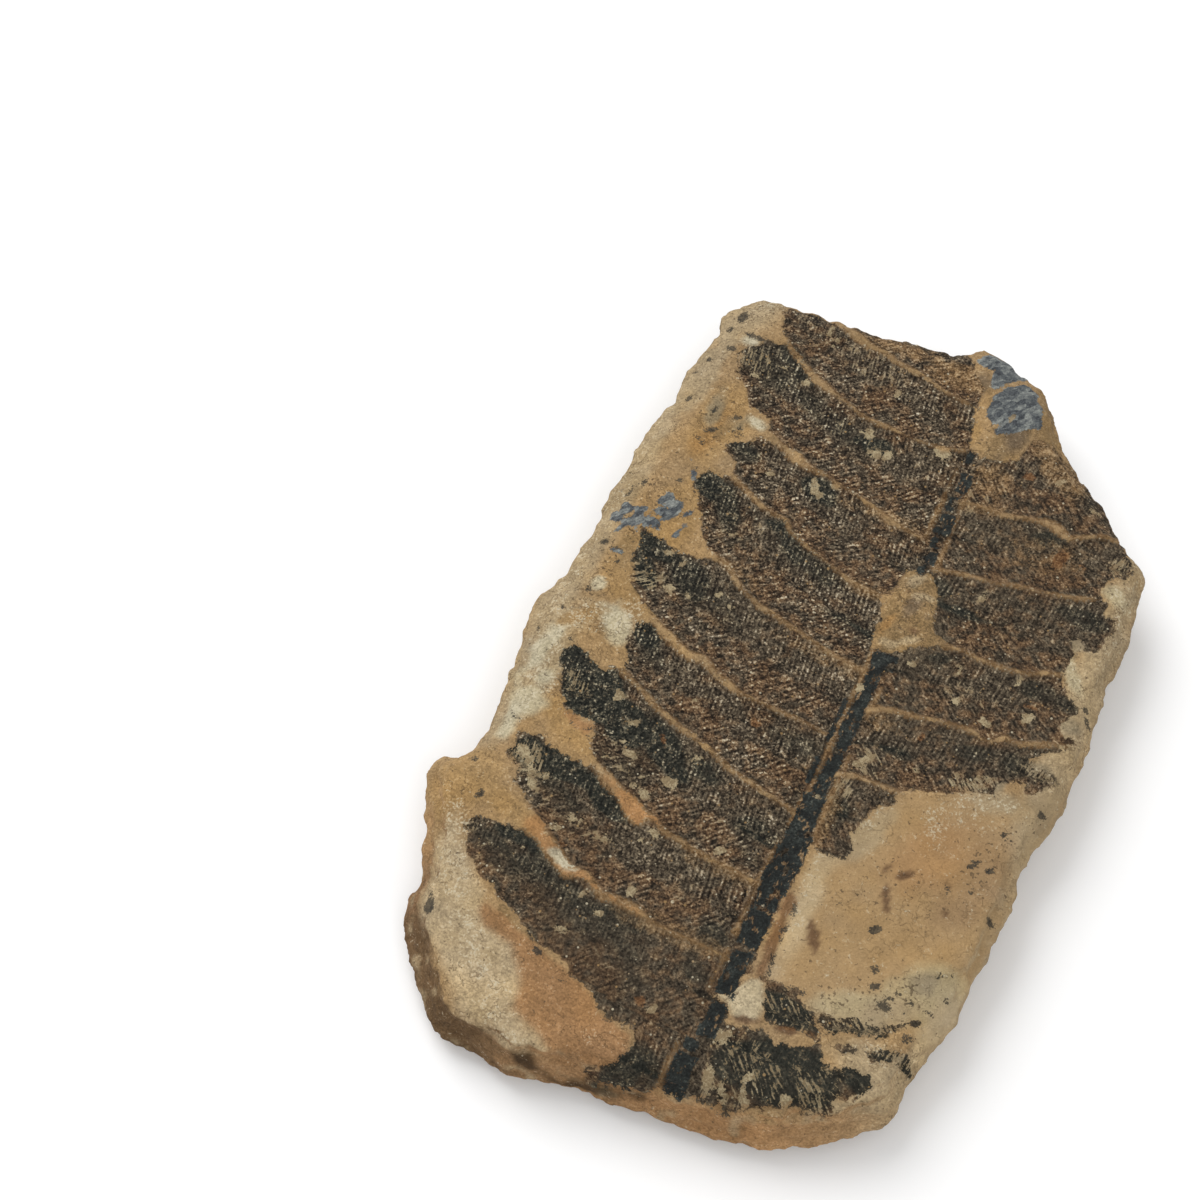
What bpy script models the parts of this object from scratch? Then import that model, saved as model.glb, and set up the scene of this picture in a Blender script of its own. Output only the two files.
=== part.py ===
"""Fossil fern plate: one slab of split sandstone with part of a fern frond pressed into its face.

The slab lies on its back. +Z points up out of the fossil face, +Y runs along the frond's stalk
towards the frond's tip, and the origin is under the middle of the slab, on the surface it rests on.
Plan positions and heights are written in millimetres, and MM turns them into metres at the end.

The slab is one solid: a modelled face with the frond's low relief, broken sides, and a split
underside whose middle is flat. The frond is an impression in the stone, so it is not a solid of
its own: only its relief is here, and its dark film is colour.
"""
import math

import bmesh
import bpy
from mathutils import Vector, noise
from mathutils.geometry import delaunay_2d_cdt

MM = 0.001
NODE = "fern_plate"

# The slab, in millimetres
FACE_HEIGHT = 12.0          # the face that carries the frond, above the surface it rests on
FACE_WARP = 0.35            # slow rise and fall of that face
FACE_WARP_SPAN = 45.0
FACE_ROUGH = 0.10           # small bumps on it
FACE_ROUGH_SPAN = 7.0
RIM_STEP = 1.8              # spacing of the vertices round the rim
RIM_CHIP = 0.45             # chips in the rim, in plan
RIM_CHIP_SPAN = 3.2
LIP_CHIP = 0.40             # chips in the rim, in height
SIDE_LUMP = 0.6             # lumps on the broken sides
SIDE_LUMP_SPAN = 5.0
SIDE_LEDGES = [(0.22, 0.1), (0.42, 0.9), (0.68, 0.3)]   # how far down the side, how far in
SLOPE_ROUGH = 0.5           # lumps on the shoulder that falls to the rim
SLOPE_ROUGH_SPAN = 3.6
FACE_STEP = 2.25            # spacing of the vertices over the open face
LINE_STEP = 2.1             # spacing of the vertices along a ridge or a groove
CLEAR = 1.05                # least distance between two vertices of the face

# The rim, clockwise from above: x, y, height of the rim, width of the shoulder that falls to it.
# The stalk's end of the slab broke away in a long slope. The far edge is sharp and high.
RIM = [
    (-35.5, 55.5, 9.5, 5.0), (-34.0, 57.5, 9.8, 4.5), (-31.5, 60.5, 10.0, 4.0),
    (-27.5, 61.5, 10.5, 3.0), (-22.5, 62.0, 10.5, 2.5), (-14.5, 61.5, 11.0, 1.5),
    (-9.0, 62.0, 11.0, 1.5), (-5.5, 63.0, 11.0, 1.5), (0.5, 63.0, 11.0, 1.5),
    (4.0, 66.5, 10.5, 2.0), (8.0, 66.5, 10.0, 2.5), (11.5, 64.5, 9.8, 2.5),
    (14.5, 63.5, 9.5, 2.5), (17.0, 61.5, 9.5, 2.5), (21.0, 55.0, 9.5, 2.5),
    (25.0, 50.5, 10.0, 2.0), (30.5, 46.5, 10.5, 1.5), (34.5, 42.0, 10.5, 2.0),
    (38.5, 40.0, 9.5, 2.5), (39.5, 38.5, 9.5, 2.5), (40.5, 32.0, 9.3, 2.5),
    (41.0, 27.0, 9.0, 3.0), (40.5, 19.0, 9.0, 3.0), (41.5, 7.5, 9.0, 3.0),
    (41.0, 1.5, 8.5, 3.5), (41.5, 0.0, 8.0, 3.0), (39.5, -11.0, 8.0, 3.0),
    (39.0, -14.0, 8.5, 3.0), (40.0, -18.0, 8.0, 3.5), (38.5, -30.0, 8.0, 3.5),
    (38.5, -36.5, 7.5, 4.0), (37.0, -43.0, 6.8, 4.0), (36.0, -46.5, 6.5, 4.0),
    (36.0, -49.5, 5.5, 4.0), (35.5, -51.5, 5.0, 4.5), (30.0, -56.5, 3.2, 5.0),
    (22.5, -61.0, 2.5, 5.5), (17.5, -62.0, 2.5, 5.5), (9.5, -63.0, 2.5, 5.0),
    (-6.5, -64.5, 2.5, 3.5), (-13.0, -66.5, 2.5, 3.5), (-18.5, -65.5, 2.5, 4.0),
    (-23.0, -65.5, 2.5, 4.0), (-25.5, -64.0, 2.6, 4.5), (-31.5, -58.0, 3.0, 5.0),
    (-35.0, -53.5, 3.0, 5.0), (-36.0, -49.5, 3.5, 5.0), (-35.5, -47.5, 4.0, 4.5),
    (-38.0, -41.0, 6.0, 5.0), (-41.0, -34.5, 7.0, 5.0), (-41.5, -31.5, 7.5, 4.0),
    (-40.5, -30.0, 8.0, 4.0), (-38.5, -30.0, 8.5, 3.5), (-37.0, -28.5, 9.0, 4.0),
    (-36.5, -25.0, 9.0, 4.5), (-37.0, -17.5, 9.0, 5.0), (-39.5, -5.0, 9.0, 6.0),
    (-39.5, -1.0, 9.0, 5.0), (-37.5, 2.5, 9.0, 5.0), (-37.0, 13.5, 9.0, 5.0),
    (-38.0, 19.0, 9.0, 5.5), (-37.0, 23.5, 9.0, 5.0), (-37.5, 28.5, 9.0, 5.5),
    (-36.5, 37.0, 9.0, 5.0), (-35.5, 38.5, 9.0, 5.0), (-36.5, 42.5, 9.0, 5.5),
    (-36.0, 48.5, 9.0, 5.5), (-35.0, 52.0, 9.2, 5.0),
]

# The stalk, a shallow flat trough that narrows towards the frond's tip
STALK_X = 9.2
STALK_LOW_Y = -60.0
STALK_TOP_Y = 48.0
STALK_LOW_WIDTH = 3.8
STALK_TOP_WIDTH = 1.8
STALK_DEPTH = 0.45

# The seams between the leaflets, low ridges of stone:
# y at the stalk, y half way out, y at the outer end, x of the outer end
LEFT_SEAMS = [
    (54.0, 57.0, 60.0, -15.0), (42.5, 46.0, 54.0, -24.5), (29.5, 33.0, 37.5, -22.5),
    (17.2, 21.2, 27.2, -22.0), (5.5, 8.5, 13.5, -26.5), (-6.8, -4.0, 1.8, -25.0),
    (-19.0, -16.8, -9.2, -23.0), (-31.0, -28.0, -18.5, -28.0), (-42.0, -40.8, -33.5, -27.0),
]
RIGHT_SEAMS = [
    (37.0, 39.2, 41.5, 33.5), (25.0, 26.7, 31.0, 35.0), (9.5, 14.5, 17.0, 33.5),
    (-0.8, 2.5, 7.5, 38.5), (-13.0, -9.5, -2.0, 39.0),
]
SEAM_HEIGHT = 0.35
SEAM_HALF_WIDTH = 0.8
LEAFLET_DISH = 0.20         # how far a leaflet is sunk between two seams

# Stone still covering the frond, where the stalk is hidden: centre, radii, tilt in degrees, height
COVER_CENTRE = (11.2, 15.4)
COVER_RADII = (4.4, 8.0)
COVER_TILT = -12.0
COVER_HEIGHT = 0.55

# The bare stone where the frond flaked off, right of the stalk, a little below the face
BARE_EDGE = [
    (12.5, -23.0), (16.5, -22.5), (16.0, -19.0), (19.0, -15.5), (19.5, -11.5), (25.0, -8.5),
    (32.5, -4.5), (45.0, -0.5), (45.0, -56.0), (34.0, -50.0), (27.0, -46.5), (22.5, -46.0),
    (19.0, -43.0), (13.5, -42.5), (12.0, -35.0), (11.5, -26.0),
]
BARE_DEPTH = 0.5
BARE_SLOPE = 1.2            # width of the step down to it

# The scar left of the stalk's end: a smooth hollow, then a rough shelf, then the broken side
SCAR_EDGE = [
    (-31.5, -40.0), (-23.5, -46.5), (-18.8, -49.8), (-11.5, -52.6), (-5.5, -55.0), (0.0, -57.5),
    (1.5, -60.5), (-1.5, -63.5), (-6.0, -70.0), (-45.0, -70.0), (-45.0, -40.0),
]
SCAR_STEP = 0.55            # the ledge at the leaflets' edge
SCAR_FALL = 0.11            # further fall for each millimetre away from that ledge
SHELF_EDGE = [
    (-26.0, -46.0), (-20.5, -52.0), (-15.7, -56.0), (-12.9, -59.3), (-9.0, -63.0), (-8.0, -70.0),
    (-45.0, -70.0), (-45.0, -46.0),
]
SHELF_STEP = 0.6

# Hard blue-grey mineral patches at the far corner: centre, radius, height
MINERAL_PATCHES = [((13.0, 56.5), 4.2, 0.3), ((8.3, 62.0), 2.3, 0.3)]

# The underside
BASE_RINGS = [(0.975, 1.3), (0.925, 0.45), (0.87, 0.0)]   # size of each ring, and its height
BASE_STEP = 6.5
BASE_SCARS = [                                            # spalls: centre, radius, depth
    ((-14.0, 33.0), 13.0, 0.9), ((17.0, -22.0), 11.0, 0.8), ((-19.0, -30.0), 9.0, 0.7),
    ((20.0, 30.0), 8.0, 0.6),
]

STONE_COLOUR = (0.36, 0.25, 0.15, 1.0)
STONE_ROUGHNESS = 0.9


def smooth(t):
    """An eased step: 0 below 0, 1 above 1."""
    t = min(1.0, max(0.0, t))
    return t * t * (3.0 - 2.0 * t)


def ripple(x, y, span, seed=0.0):
    """Smooth noise between about -1 and 1, with features about span across."""
    return noise.noise(Vector((x / span, y / span, 3.7 + seed)))


def segment_distance(p, a, b):
    """The distance from p to the segment from a to b."""
    run = b - a
    t = min(1.0, max(0.0, (p - a).dot(run) / max(run.dot(run), 1e-9)))
    return (p - a - run * t).length


def is_inside(p, loop):
    """Whether p lies inside the closed loop."""
    hit = False
    last = loop[-1]
    for corner in loop:
        if (corner.y > p.y) != (last.y > p.y):
            cross = corner.x + (p.y - corner.y) * (last.x - corner.x) / (last.y - corner.y)
            if p.x < cross:
                hit = not hit
        last = corner
    return hit


def loop_distance(p, loop):
    """The distance from p to the closed loop, positive inside it."""
    edges = zip(loop, loop[1:] + loop[:1])
    away = min(segment_distance(p, a, b) for a, b in edges)
    return away if is_inside(p, loop) else -away


def as_loop(corners):
    return [Vector((c[0], c[1])) for c in corners]


def rim_points():
    """The chipped rim: plan position, height and shoulder width of each vertex."""
    points = []
    for start, end in zip(RIM, RIM[1:] + RIM[:1]):
        a = Vector(start)
        b = Vector(end)
        count = max(1, round((b.xy - a.xy).length / RIM_STEP))
        for i in range(count):
            points.append(a.lerp(b, i / count))
    chipped = []
    for i, p in enumerate(points):
        along = (points[(i + 1) % len(points)].xy - points[i - 1].xy).normalized()
        inward = Vector((along.y, -along.x))
        bite = RIM_CHIP * (0.5 * ripple(p.x, p.y, RIM_CHIP_SPAN) + 0.5 * ripple(p.x, p.y, 9.0, 5.0))
        lip = p.z + LIP_CHIP * ripple(p.x, p.y, RIM_CHIP_SPAN, 11.0)
        chipped.append((p.xy + inward * bite, lip, p.w))
    return chipped


class Seam:
    """A ridge between two leaflets: one even curve from the stalk to the outer end."""

    def __init__(self, y_stalk, y_half, y_end, x_end):
        self.x_end = x_end
        self.reach = abs(x_end - STALK_X)
        self.side = 1.0 if x_end > STALK_X else -1.0
        self.y_stalk = y_stalk
        self.bend = 2.0 * (y_stalk + y_end - 2.0 * y_half)
        self.rise = y_end - y_stalk - self.bend

    def y_at(self, x):
        t = self.side * (x - STALK_X) / self.reach
        return self.y_stalk + self.rise * t + self.bend * t * t

    def covers(self, x):
        out = self.side * (x - STALK_X)
        return 0.0 < out < self.reach


SEAMS = [Seam(*row) for row in LEFT_SEAMS + RIGHT_SEAMS]


def stalk_half_width(y):
    t = (y - STALK_LOW_Y) / (STALK_TOP_Y - STALK_LOW_Y)
    return 0.5 * (STALK_LOW_WIDTH + (STALK_TOP_WIDTH - STALK_LOW_WIDTH) * t)


def stalk_relief(x, y):
    """The stalk's flat-floored trough."""
    if not STALK_LOW_Y < y < STALK_TOP_Y:
        return 0.0
    half = stalk_half_width(y)
    return -STALK_DEPTH * smooth((half + 0.35 - abs(x - STALK_X)) / 0.6)


def seam_relief(x, y):
    """Ridges on the seams, with each leaflet slightly dished between two of them."""
    above = [s.y_at(x) - y for s in SEAMS if s.covers(x) and s.y_at(x) >= y]
    below = [y - s.y_at(x) for s in SEAMS if s.covers(x) and s.y_at(x) < y]
    height = 0.0
    near = min(above + below, default=99.0)
    height += SEAM_HEIGHT * (1.0 - smooth(near / SEAM_HALF_WIDTH))
    if above and below:
        t = min(below) / (min(below) + min(above))
        height -= LEAFLET_DISH * math.sin(math.pi * t)
    return height


def cover_relief(x, y):
    """The low mound of stone that hides part of the stalk."""
    turn = math.radians(COVER_TILT)
    dx = x - COVER_CENTRE[0]
    dy = y - COVER_CENTRE[1]
    u = (dx * math.cos(turn) - dy * math.sin(turn)) / COVER_RADII[0]
    v = (dx * math.sin(turn) + dy * math.cos(turn)) / COVER_RADII[1]
    return smooth((1.15 - math.hypot(u, v)) / 0.35)


BARE_LOOP = as_loop(BARE_EDGE)
SCAR_LOOP = as_loop(SCAR_EDGE)
SHELF_LOOP = as_loop(SHELF_EDGE)


def face_height(p, rim, rim_loop):
    """The height of the slab's face over the plan point p."""
    x, y = p
    z = FACE_HEIGHT
    z += FACE_WARP * ripple(x, y, FACE_WARP_SPAN) + FACE_ROUGH * ripple(x, y, FACE_ROUGH_SPAN, 2.0)

    in_scar = loop_distance(p, SCAR_LOOP)
    in_shelf = loop_distance(p, SHELF_LOOP)
    in_bare = loop_distance(p, BARE_LOOP)
    cover = cover_relief(x, y)
    frond = (1.0 - cover) * smooth(1.0 - in_scar / 0.8) * smooth(1.0 - in_bare / 0.8)
    z += frond * seam_relief(x, y) + (1.0 - cover) * stalk_relief(x, y) + COVER_HEIGHT * cover
    z -= BARE_DEPTH * smooth(in_bare / BARE_SLOPE)
    z -= SCAR_STEP * smooth(in_scar / 1.0) + SCAR_FALL * max(0.0, in_scar)
    z -= SHELF_STEP * smooth(in_shelf / 1.0)
    for (cx, cy), radius, height in MINERAL_PATCHES:
        z += height * smooth((radius - math.hypot(x - cx, y - cy)) / 1.0)

    nearest = min(range(len(rim)), key=lambda i: (rim[i][0] - p).length_squared)
    lip = rim[nearest][1]
    shoulder = rim[nearest][2]
    away = max(0.0, loop_distance(p, rim_loop))
    fall = max(0.0, 1.0 - away / shoulder)
    z -= SLOPE_ROUGH * 4.0 * fall * (1.0 - fall) * abs(ripple(x, y, SLOPE_ROUGH_SPAN, 13.0))
    return z - (z - lip) * fall ** 1.7


def thin_out(candidates, kept, clearance):
    """The candidates, in order, that stay clear of the points kept so far and of each other."""
    cell = clearance
    grid = {}

    def key(p):
        return int(math.floor(p.x / cell)), int(math.floor(p.y / cell))

    for p in kept:
        grid.setdefault(key(p), []).append(p)
    chosen = []
    for p in candidates:
        i, j = key(p)
        close = [q for a in (-1, 0, 1) for b in (-1, 0, 1) for q in grid.get((i + a, j + b), [])]
        if all((q - p).length >= clearance for q in close):
            grid.setdefault((i, j), []).append(p)
            chosen.append(p)
    return chosen


def hex_points(loop, step, margin):
    """A jittered hexagonal field of points, all at least margin inside the loop."""
    xs = [p.x for p in loop]
    ys = [p.y for p in loop]
    points = []
    row = 0
    y = min(ys)
    while y < max(ys):
        x = min(xs) + (0.5 * step if row % 2 else 0.0)
        while x < max(xs):
            p = Vector((x, y))
            p += 0.22 * step * Vector((ripple(x, y, 1.3, 7.0), ripple(x, y, 1.3, 9.0)))
            if loop_distance(p, loop) > margin:
                points.append(p)
            x += step
        y += step * math.sqrt(3.0) / 2.0
        row += 1
    return points


def line_points():
    """Vertices along the ridges, the trough and the steps, so that each keeps its own edge."""
    points = []
    for seam in SEAMS:
        count = round(seam.reach / LINE_STEP)
        for i in range(1, count + 1):
            x = STALK_X + seam.side * (2.6 + (seam.reach - 2.6) * i / count)
            for offset in (0.0, SEAM_HALF_WIDTH * 1.4, -SEAM_HALF_WIDTH * 1.4):
                points.append(Vector((x, seam.y_at(x) + offset)))
    count = round((STALK_TOP_Y - STALK_LOW_Y) / LINE_STEP)
    for i in range(count + 1):
        y = STALK_LOW_Y + (STALK_TOP_Y - STALK_LOW_Y) * i / count
        for side in (-1.0, 1.0):
            half = stalk_half_width(y)
            points.append(Vector((STALK_X + side * (half - 0.35), y)))
            points.append(Vector((STALK_X + side * (half + 0.75), y)))
    for corners in (SCAR_EDGE, SHELF_EDGE, BARE_EDGE):
        loop = as_loop(corners)
        for a, b in zip(loop, loop[1:] + loop[:1]):
            steps = max(1, round((b - a).length / LINE_STEP))
            inward = Vector((b.y - a.y, a.x - b.x)).normalized()
            if not is_inside((a + b) / 2.0 + inward * 0.2, loop):
                inward = -inward
            for i in range(steps):
                p = a.lerp(b, i / steps)
                points.append(p)
                points.append(p + inward * 1.25)
    return points


def triangulate(loop, inner):
    """Triangles over the loop and the points inside it, as point and index lists."""
    edges = [(i, (i + 1) % len(loop)) for i in range(len(loop))]
    points, _, faces, _, _, _ = delaunay_2d_cdt(loop + inner, edges, [], 1, 1e-6)
    return points, faces


def add_sheet(bm, loop, inner, height_at, up):
    """A triangulated sheet in bm. Returns the vertices of its rim, in the loop's order."""
    points, faces = triangulate(loop, inner)
    verts = [bm.verts.new((p.x * MM, p.y * MM, height_at(p) * MM)) for p in points]
    for face in faces:
        corners = [verts[i] for i in face]
        a, b, c = (v.co.xy for v in corners[:3])
        turns_left = (b - a).cross(c - a) > 0.0
        bm.faces.new(corners if turns_left == up else corners[::-1])
    return verts[:len(loop)]


def add_wall(bm, upper, lower):
    """A band of faces between two rims with the same number of vertices."""
    count = len(upper)
    for i in range(count):
        j = (i + 1) % count
        bm.faces.new((upper[i], upper[j], lower[j], lower[i]))


def side_ring(bm, rim, share, ledge, base_loop):
    """A lumpy ring on the broken side: share runs from 0 at the rim to 1 at the base."""
    verts = []
    foot_height = BASE_RINGS[0][1]
    for (p, lip, _), foot in zip(rim, base_loop):
        q = p.lerp(foot, share)
        z = lip + (foot_height - lip) * share
        lump = ledge * (1.0 + 0.7 * ripple(q.x, q.y, 14.0, 40.0 * share))
        lump += SIDE_LUMP * (0.3 + ripple(q.x, q.y, SIDE_LUMP_SPAN, 20.0 * share))
        bite = max(0.0, lump) * min(1.0, (lip - foot_height) / 5.0)
        z += 0.3 * bite * ripple(q.x, q.y, 6.0, 60.0 * share)
        q = q * (1.0 - bite / q.length)
        verts.append(bm.verts.new((q.x * MM, q.y * MM, z * MM)))
    return verts


def base_height(p, loops):
    """The underside: flat in the middle, rising at the edge, with a few shallow spalls."""
    in_flat = loop_distance(p, loops[-1])
    if in_flat <= 1e-4:
        on_ring = min(range(len(loops)), key=lambda i: abs(loop_distance(p, loops[i])))
        z = BASE_RINGS[on_ring][1]
        return z * (1.0 + 0.45 * ripple(p.x, p.y, 6.0, 31.0))
    deepest = 0.0
    for (cx, cy), radius, depth in BASE_SCARS:
        reach = math.hypot(p.x - cx, p.y - cy) / radius
        deepest = max(deepest, depth * (1.0 - reach * reach))
    return deepest


def build_slab():
    rim = rim_points()
    rim_loop = [p for p, _, _ in rim]
    bm = bmesh.new()

    shoulders = []
    for inset in (1.2, 2.7, 4.4):
        for i, p in enumerate(rim_loop):
            along = (rim_loop[(i + 1) % len(rim_loop)] - rim_loop[i - 1]).normalized()
            q = p + Vector((along.y, -along.x)) * inset
            if loop_distance(q, rim_loop) > 0.8 * inset:
                shoulders.append(q)
    lines = [p for p in line_points() if loop_distance(p, rim_loop) > 1.0]
    inner = thin_out(lines, rim_loop, CLEAR)
    inner += thin_out(shoulders, rim_loop + inner, 1.35)
    inner += thin_out(hex_points(rim_loop, FACE_STEP, 1.0), rim_loop + inner, 0.72 * FACE_STEP)
    lips = {p.to_tuple(4): lip for p, lip, _ in rim}

    def top(p):
        return lips.get(p.to_tuple(4), None) or face_height(p, rim, rim_loop)

    face_rim = add_sheet(bm, rim_loop, inner, top, up=True)

    base_loops = [[p * size for p in rim_loop] for size, _ in BASE_RINGS]
    foot = base_loops[0]
    rings = thin_out(base_loops[1], foot, 3.0)
    rings += thin_out(base_loops[2], foot + rings, 3.4)
    middle = hex_points(base_loops[2], BASE_STEP, 2.5)
    base_rim = add_sheet(bm, foot, rings + middle, lambda p: base_height(p, base_loops), up=False)

    ledges = [side_ring(bm, rim, share, ledge, foot) for share, ledge in SIDE_LEDGES]
    walls = [face_rim] + ledges + [base_rim]
    for upper, lower in zip(walls, walls[1:]):
        add_wall(bm, upper, lower)
    bmesh.ops.triangulate(bm, faces=[f for f in bm.faces if len(f.verts) > 3])
    bmesh.ops.recalc_face_normals(bm, faces=bm.faces)

    mesh = bpy.data.meshes.new(NODE)
    bm.to_mesh(mesh)
    bm.free()
    return mesh


def stone_material():
    material = bpy.data.materials.new("stone")
    material.use_nodes = True
    shader = material.node_tree.nodes["Principled BSDF"]
    shader.inputs["Base Color"].default_value = STONE_COLOUR
    shader.inputs["Roughness"].default_value = STONE_ROUGHNESS
    shader.inputs["Metallic"].default_value = 0.0
    return material


def main():
    for old in list(bpy.data.objects):
        bpy.data.objects.remove(old, do_unlink=True)
    collection = bpy.data.collections.new("fossil_fern_plate")
    bpy.context.scene.collection.children.link(collection)
    plate = bpy.data.objects.new(NODE, build_slab())
    plate.data.materials.append(stone_material())
    collection.objects.link(plate)


main()
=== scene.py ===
"""The looks of the fossil fern plate: a slab of split sandstone that carries part of a fern frond.

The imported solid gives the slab's size and main shape. Here it is remeshed finely, its face gets the
seams, steps and grain of the real thing, its sides get a rough break, and one procedural material
paints the bare sandstone, the dark plant film with its veins, the coaly stalk and the blue-grey
mineral crusts.

All places and sizes are in millimetres in the frame's own axes: +X across the frond, +Y along its
stalk to the tip, +Z up out of the face. MM turns them into metres where Blender needs them. Only
the floor and the lights are given in metres.
"""
import math

import bpy
import numpy as np
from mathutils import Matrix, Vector


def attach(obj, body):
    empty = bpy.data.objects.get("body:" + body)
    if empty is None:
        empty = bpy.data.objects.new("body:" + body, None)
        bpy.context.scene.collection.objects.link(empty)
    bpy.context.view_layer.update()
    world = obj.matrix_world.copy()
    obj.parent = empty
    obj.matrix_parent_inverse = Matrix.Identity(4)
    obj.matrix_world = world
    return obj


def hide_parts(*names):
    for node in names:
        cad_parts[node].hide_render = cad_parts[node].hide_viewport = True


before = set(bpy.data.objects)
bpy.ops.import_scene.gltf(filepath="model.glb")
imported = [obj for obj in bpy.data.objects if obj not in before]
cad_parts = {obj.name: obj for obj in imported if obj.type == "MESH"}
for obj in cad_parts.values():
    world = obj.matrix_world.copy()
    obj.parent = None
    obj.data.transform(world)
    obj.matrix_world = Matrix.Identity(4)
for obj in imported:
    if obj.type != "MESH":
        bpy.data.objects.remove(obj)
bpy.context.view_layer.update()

MM = 0.001
NODE = "fern_plate"

# The camera: the photograph looks down at 60 degrees, from the right of the stalk's end
CAMERA_PLACE = (37.3, -143.2, 286.0)
CAMERA_TARGET = (-33.2, 6.05, 0.0)
CAMERA_LENS = 66.0
CAMERA_SENSOR = 36.0

# The studio, in metres and watts: half the floor's side, its gap under the slab, and the lights
FLOOR_REACH = 3.0
FLOOR_DROP = 0.00005
SKY_STRENGTH = 0.66
KEY_POWER = 10.4
FILL_POWER = 2.5

# How far the face's markings draw back where the face turns down to the sides
FADE_DEPTH = 12.0

# How much darker the paint is than the colour it shows: the light is a little stronger than white
PAINT = 0.9

# The fine mesh: its voxels, and how many rounds of smoothing rub out their steps
VOXEL = 0.51
ROUNDS_ALL_OVER = 4
ROUNDS_ON_FACE = 24

# The face's fine forms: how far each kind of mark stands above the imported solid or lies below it
FILM_DEPTH = 0.10
SEAM_RISE = 0.26
TROUGH_DEPTH = 0.16
COAL_RISE = 0.20
COVER_RISE = 0.16
CREAM_RISE = 0.22
CHIP_RISE = 0.10
MINERAL_RISE = 0.14
BARE_DEPTH = 0.12
CREVICE_DEPTH = 0.30
PIT_DEPTH = 0.10

# The stalk: where it runs, and its blocks of coal as top y, bottom y, left x, right x
STALK_X = 9.6
STALK_TOP = 48.0
STALK_FOOT = -61.5
STALK_HALF_WIDTH = (1.1, 1.9)
STALK_BLOCKS = [
    (47, 44.8, 8.7, 9.8), (43, 39.2, 9, 11), (38.5, 35.7, 9, 10.4), (35.1, 31.5, 8.9, 11.3),
    (30.8, 28.6, 9.2, 10.8), (28, 25.6, 9.6, 10.9), (27, 23.6, 9, 10.2), (9.2, 6.9, 8.4, 12.2),
    (7.4, -1, 8.9, 10.9), (-0.8, -5, 8.8, 11), (0.6, -7, 7.5, 8.1), (-9.5, -14, 7.3, 8.2),
    (-24, -30, 7.6, 8.2), (-5.2, -7.3, 9.2, 10.9), (-7.8, -15, 8.8, 10.8), (-15.6, -21, 8, 11.2),
    (-21, -31, 8, 11.7), (-31.2, -39.4, 8, 11.2), (-40.2, -47, 8.3, 10.9), (-48, -53, 8.5, 10.9),
    (-54, -55.6, 7.6, 9.6), (-56, -61, 7.3, 10.2),
]

# The leaflets: their pitch where no seam shows, the midrib's place between two seams, how far out a
# vein runs for each millimetre away from the midrib, and how slowly a midrib fades outwards
LEAFLET_PITCH = 12.0
LEAFLETS_BELOW = 5      # how many more leaflets there are below the last seam of each side
MIDRIB_PLACE = 0.5
UPPER_VEIN_LEAN = 0.12
LOWER_VEIN_LEAN = 0.85
MIDRIB_FADE = 16.0
VEIN_PITCH = 0.75
NARROW_SEAM = 0.35      # a seam of no more than this half width is stained, not bare

# Stone chips that show through the coal, as the spots below
STALK_CHIPS = [
    (9.2, 25.6, 0.6, 0.5, 90), (10.5, 29.6, 0.6, 0.5, 60), (9.3, 33.2, 0.6, 0.4, 60),
    (11.6, 7.6, 0.5, 0.3, 30), (8.8, 2.9, 0.75, 0.6, 80), (10, 4.6, 0.8, 0.25, 90),
    (9.95, -3, 1.1, 0.3, 88), (9.5, -7.9, 1, 0.25), (9.6, -15.4, 1.3, 0.28),
    (9.4, -21.9, 0.5, 0.3, 90), (10.8, -21.5, 0.3, 0.3), (8.3, -22.2, 0.3, 0.3),
    (9.75, -31.2, 0.8, 0.25, 85), (8.8, -25, 0.5, 0.2, 60), (10.2, -27.4, 0.5, 0.2, 100),
    (9.4, -33.6, 0.8, 0.2, 10), (9.6, -39.8, 1.6, 0.3, 5), (9, -44.4, 0.6, 0.2, 80),
    (9.6, -47.4, 1.3, 0.5, 10), (9.4, -53.4, 1.2, 0.4, 5), (10.2, -42.4, 0.5, 0.2, 90),
    (8.6, -58.4, 0.6, 0.2, 90), (9.9, 36.9, 0.6, 0.2, 90), (10, 33, 0.5, 0.2, 80),
    (9.6, 40.8, 0.5, 0.2, 90),
]
# Thin lines of stone beside the coal: x, y, half width
STALK_LINES = [
    [(8.3, 9, 0.2), (8.5, 4, 0.2), (8.3, -1, 0.15), (8.5, -7.5, 0.2), (8.6, -12, 0.2),
     (8.4, -15.2, 0.25)],
    [(8.2, -16, 0.12), (8.1, -20.5, 0.12)],
    [(7.5, -23.5, 0.15), (7.4, -31, 0.2), (7.6, -38.5, 0.25)],
    [(7.6, -41, 0.2), (7.5, -47, 0.2)],
    [(6.9, -55.5, 0.25), (6.7, -62, 0.3)],
    [(11.6, -7.8, 0.25), (11.5, -14.5, 0.3), (11.9, -21.5, 0.2)],
    [(11.6, 4, 0.2), (11.4, -1, 0.25)],
    [(12.2, -31, 0.4), (12.5, -36, 0.7), (12.6, -42, 0.9)],
    [(8.2, 43, 0.15), (8.2, 30, 0.2)],
    [(11.3, 40, 0.2), (11.3, 34, 0.2), (11.6, 26, 0.3)],
]

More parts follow.
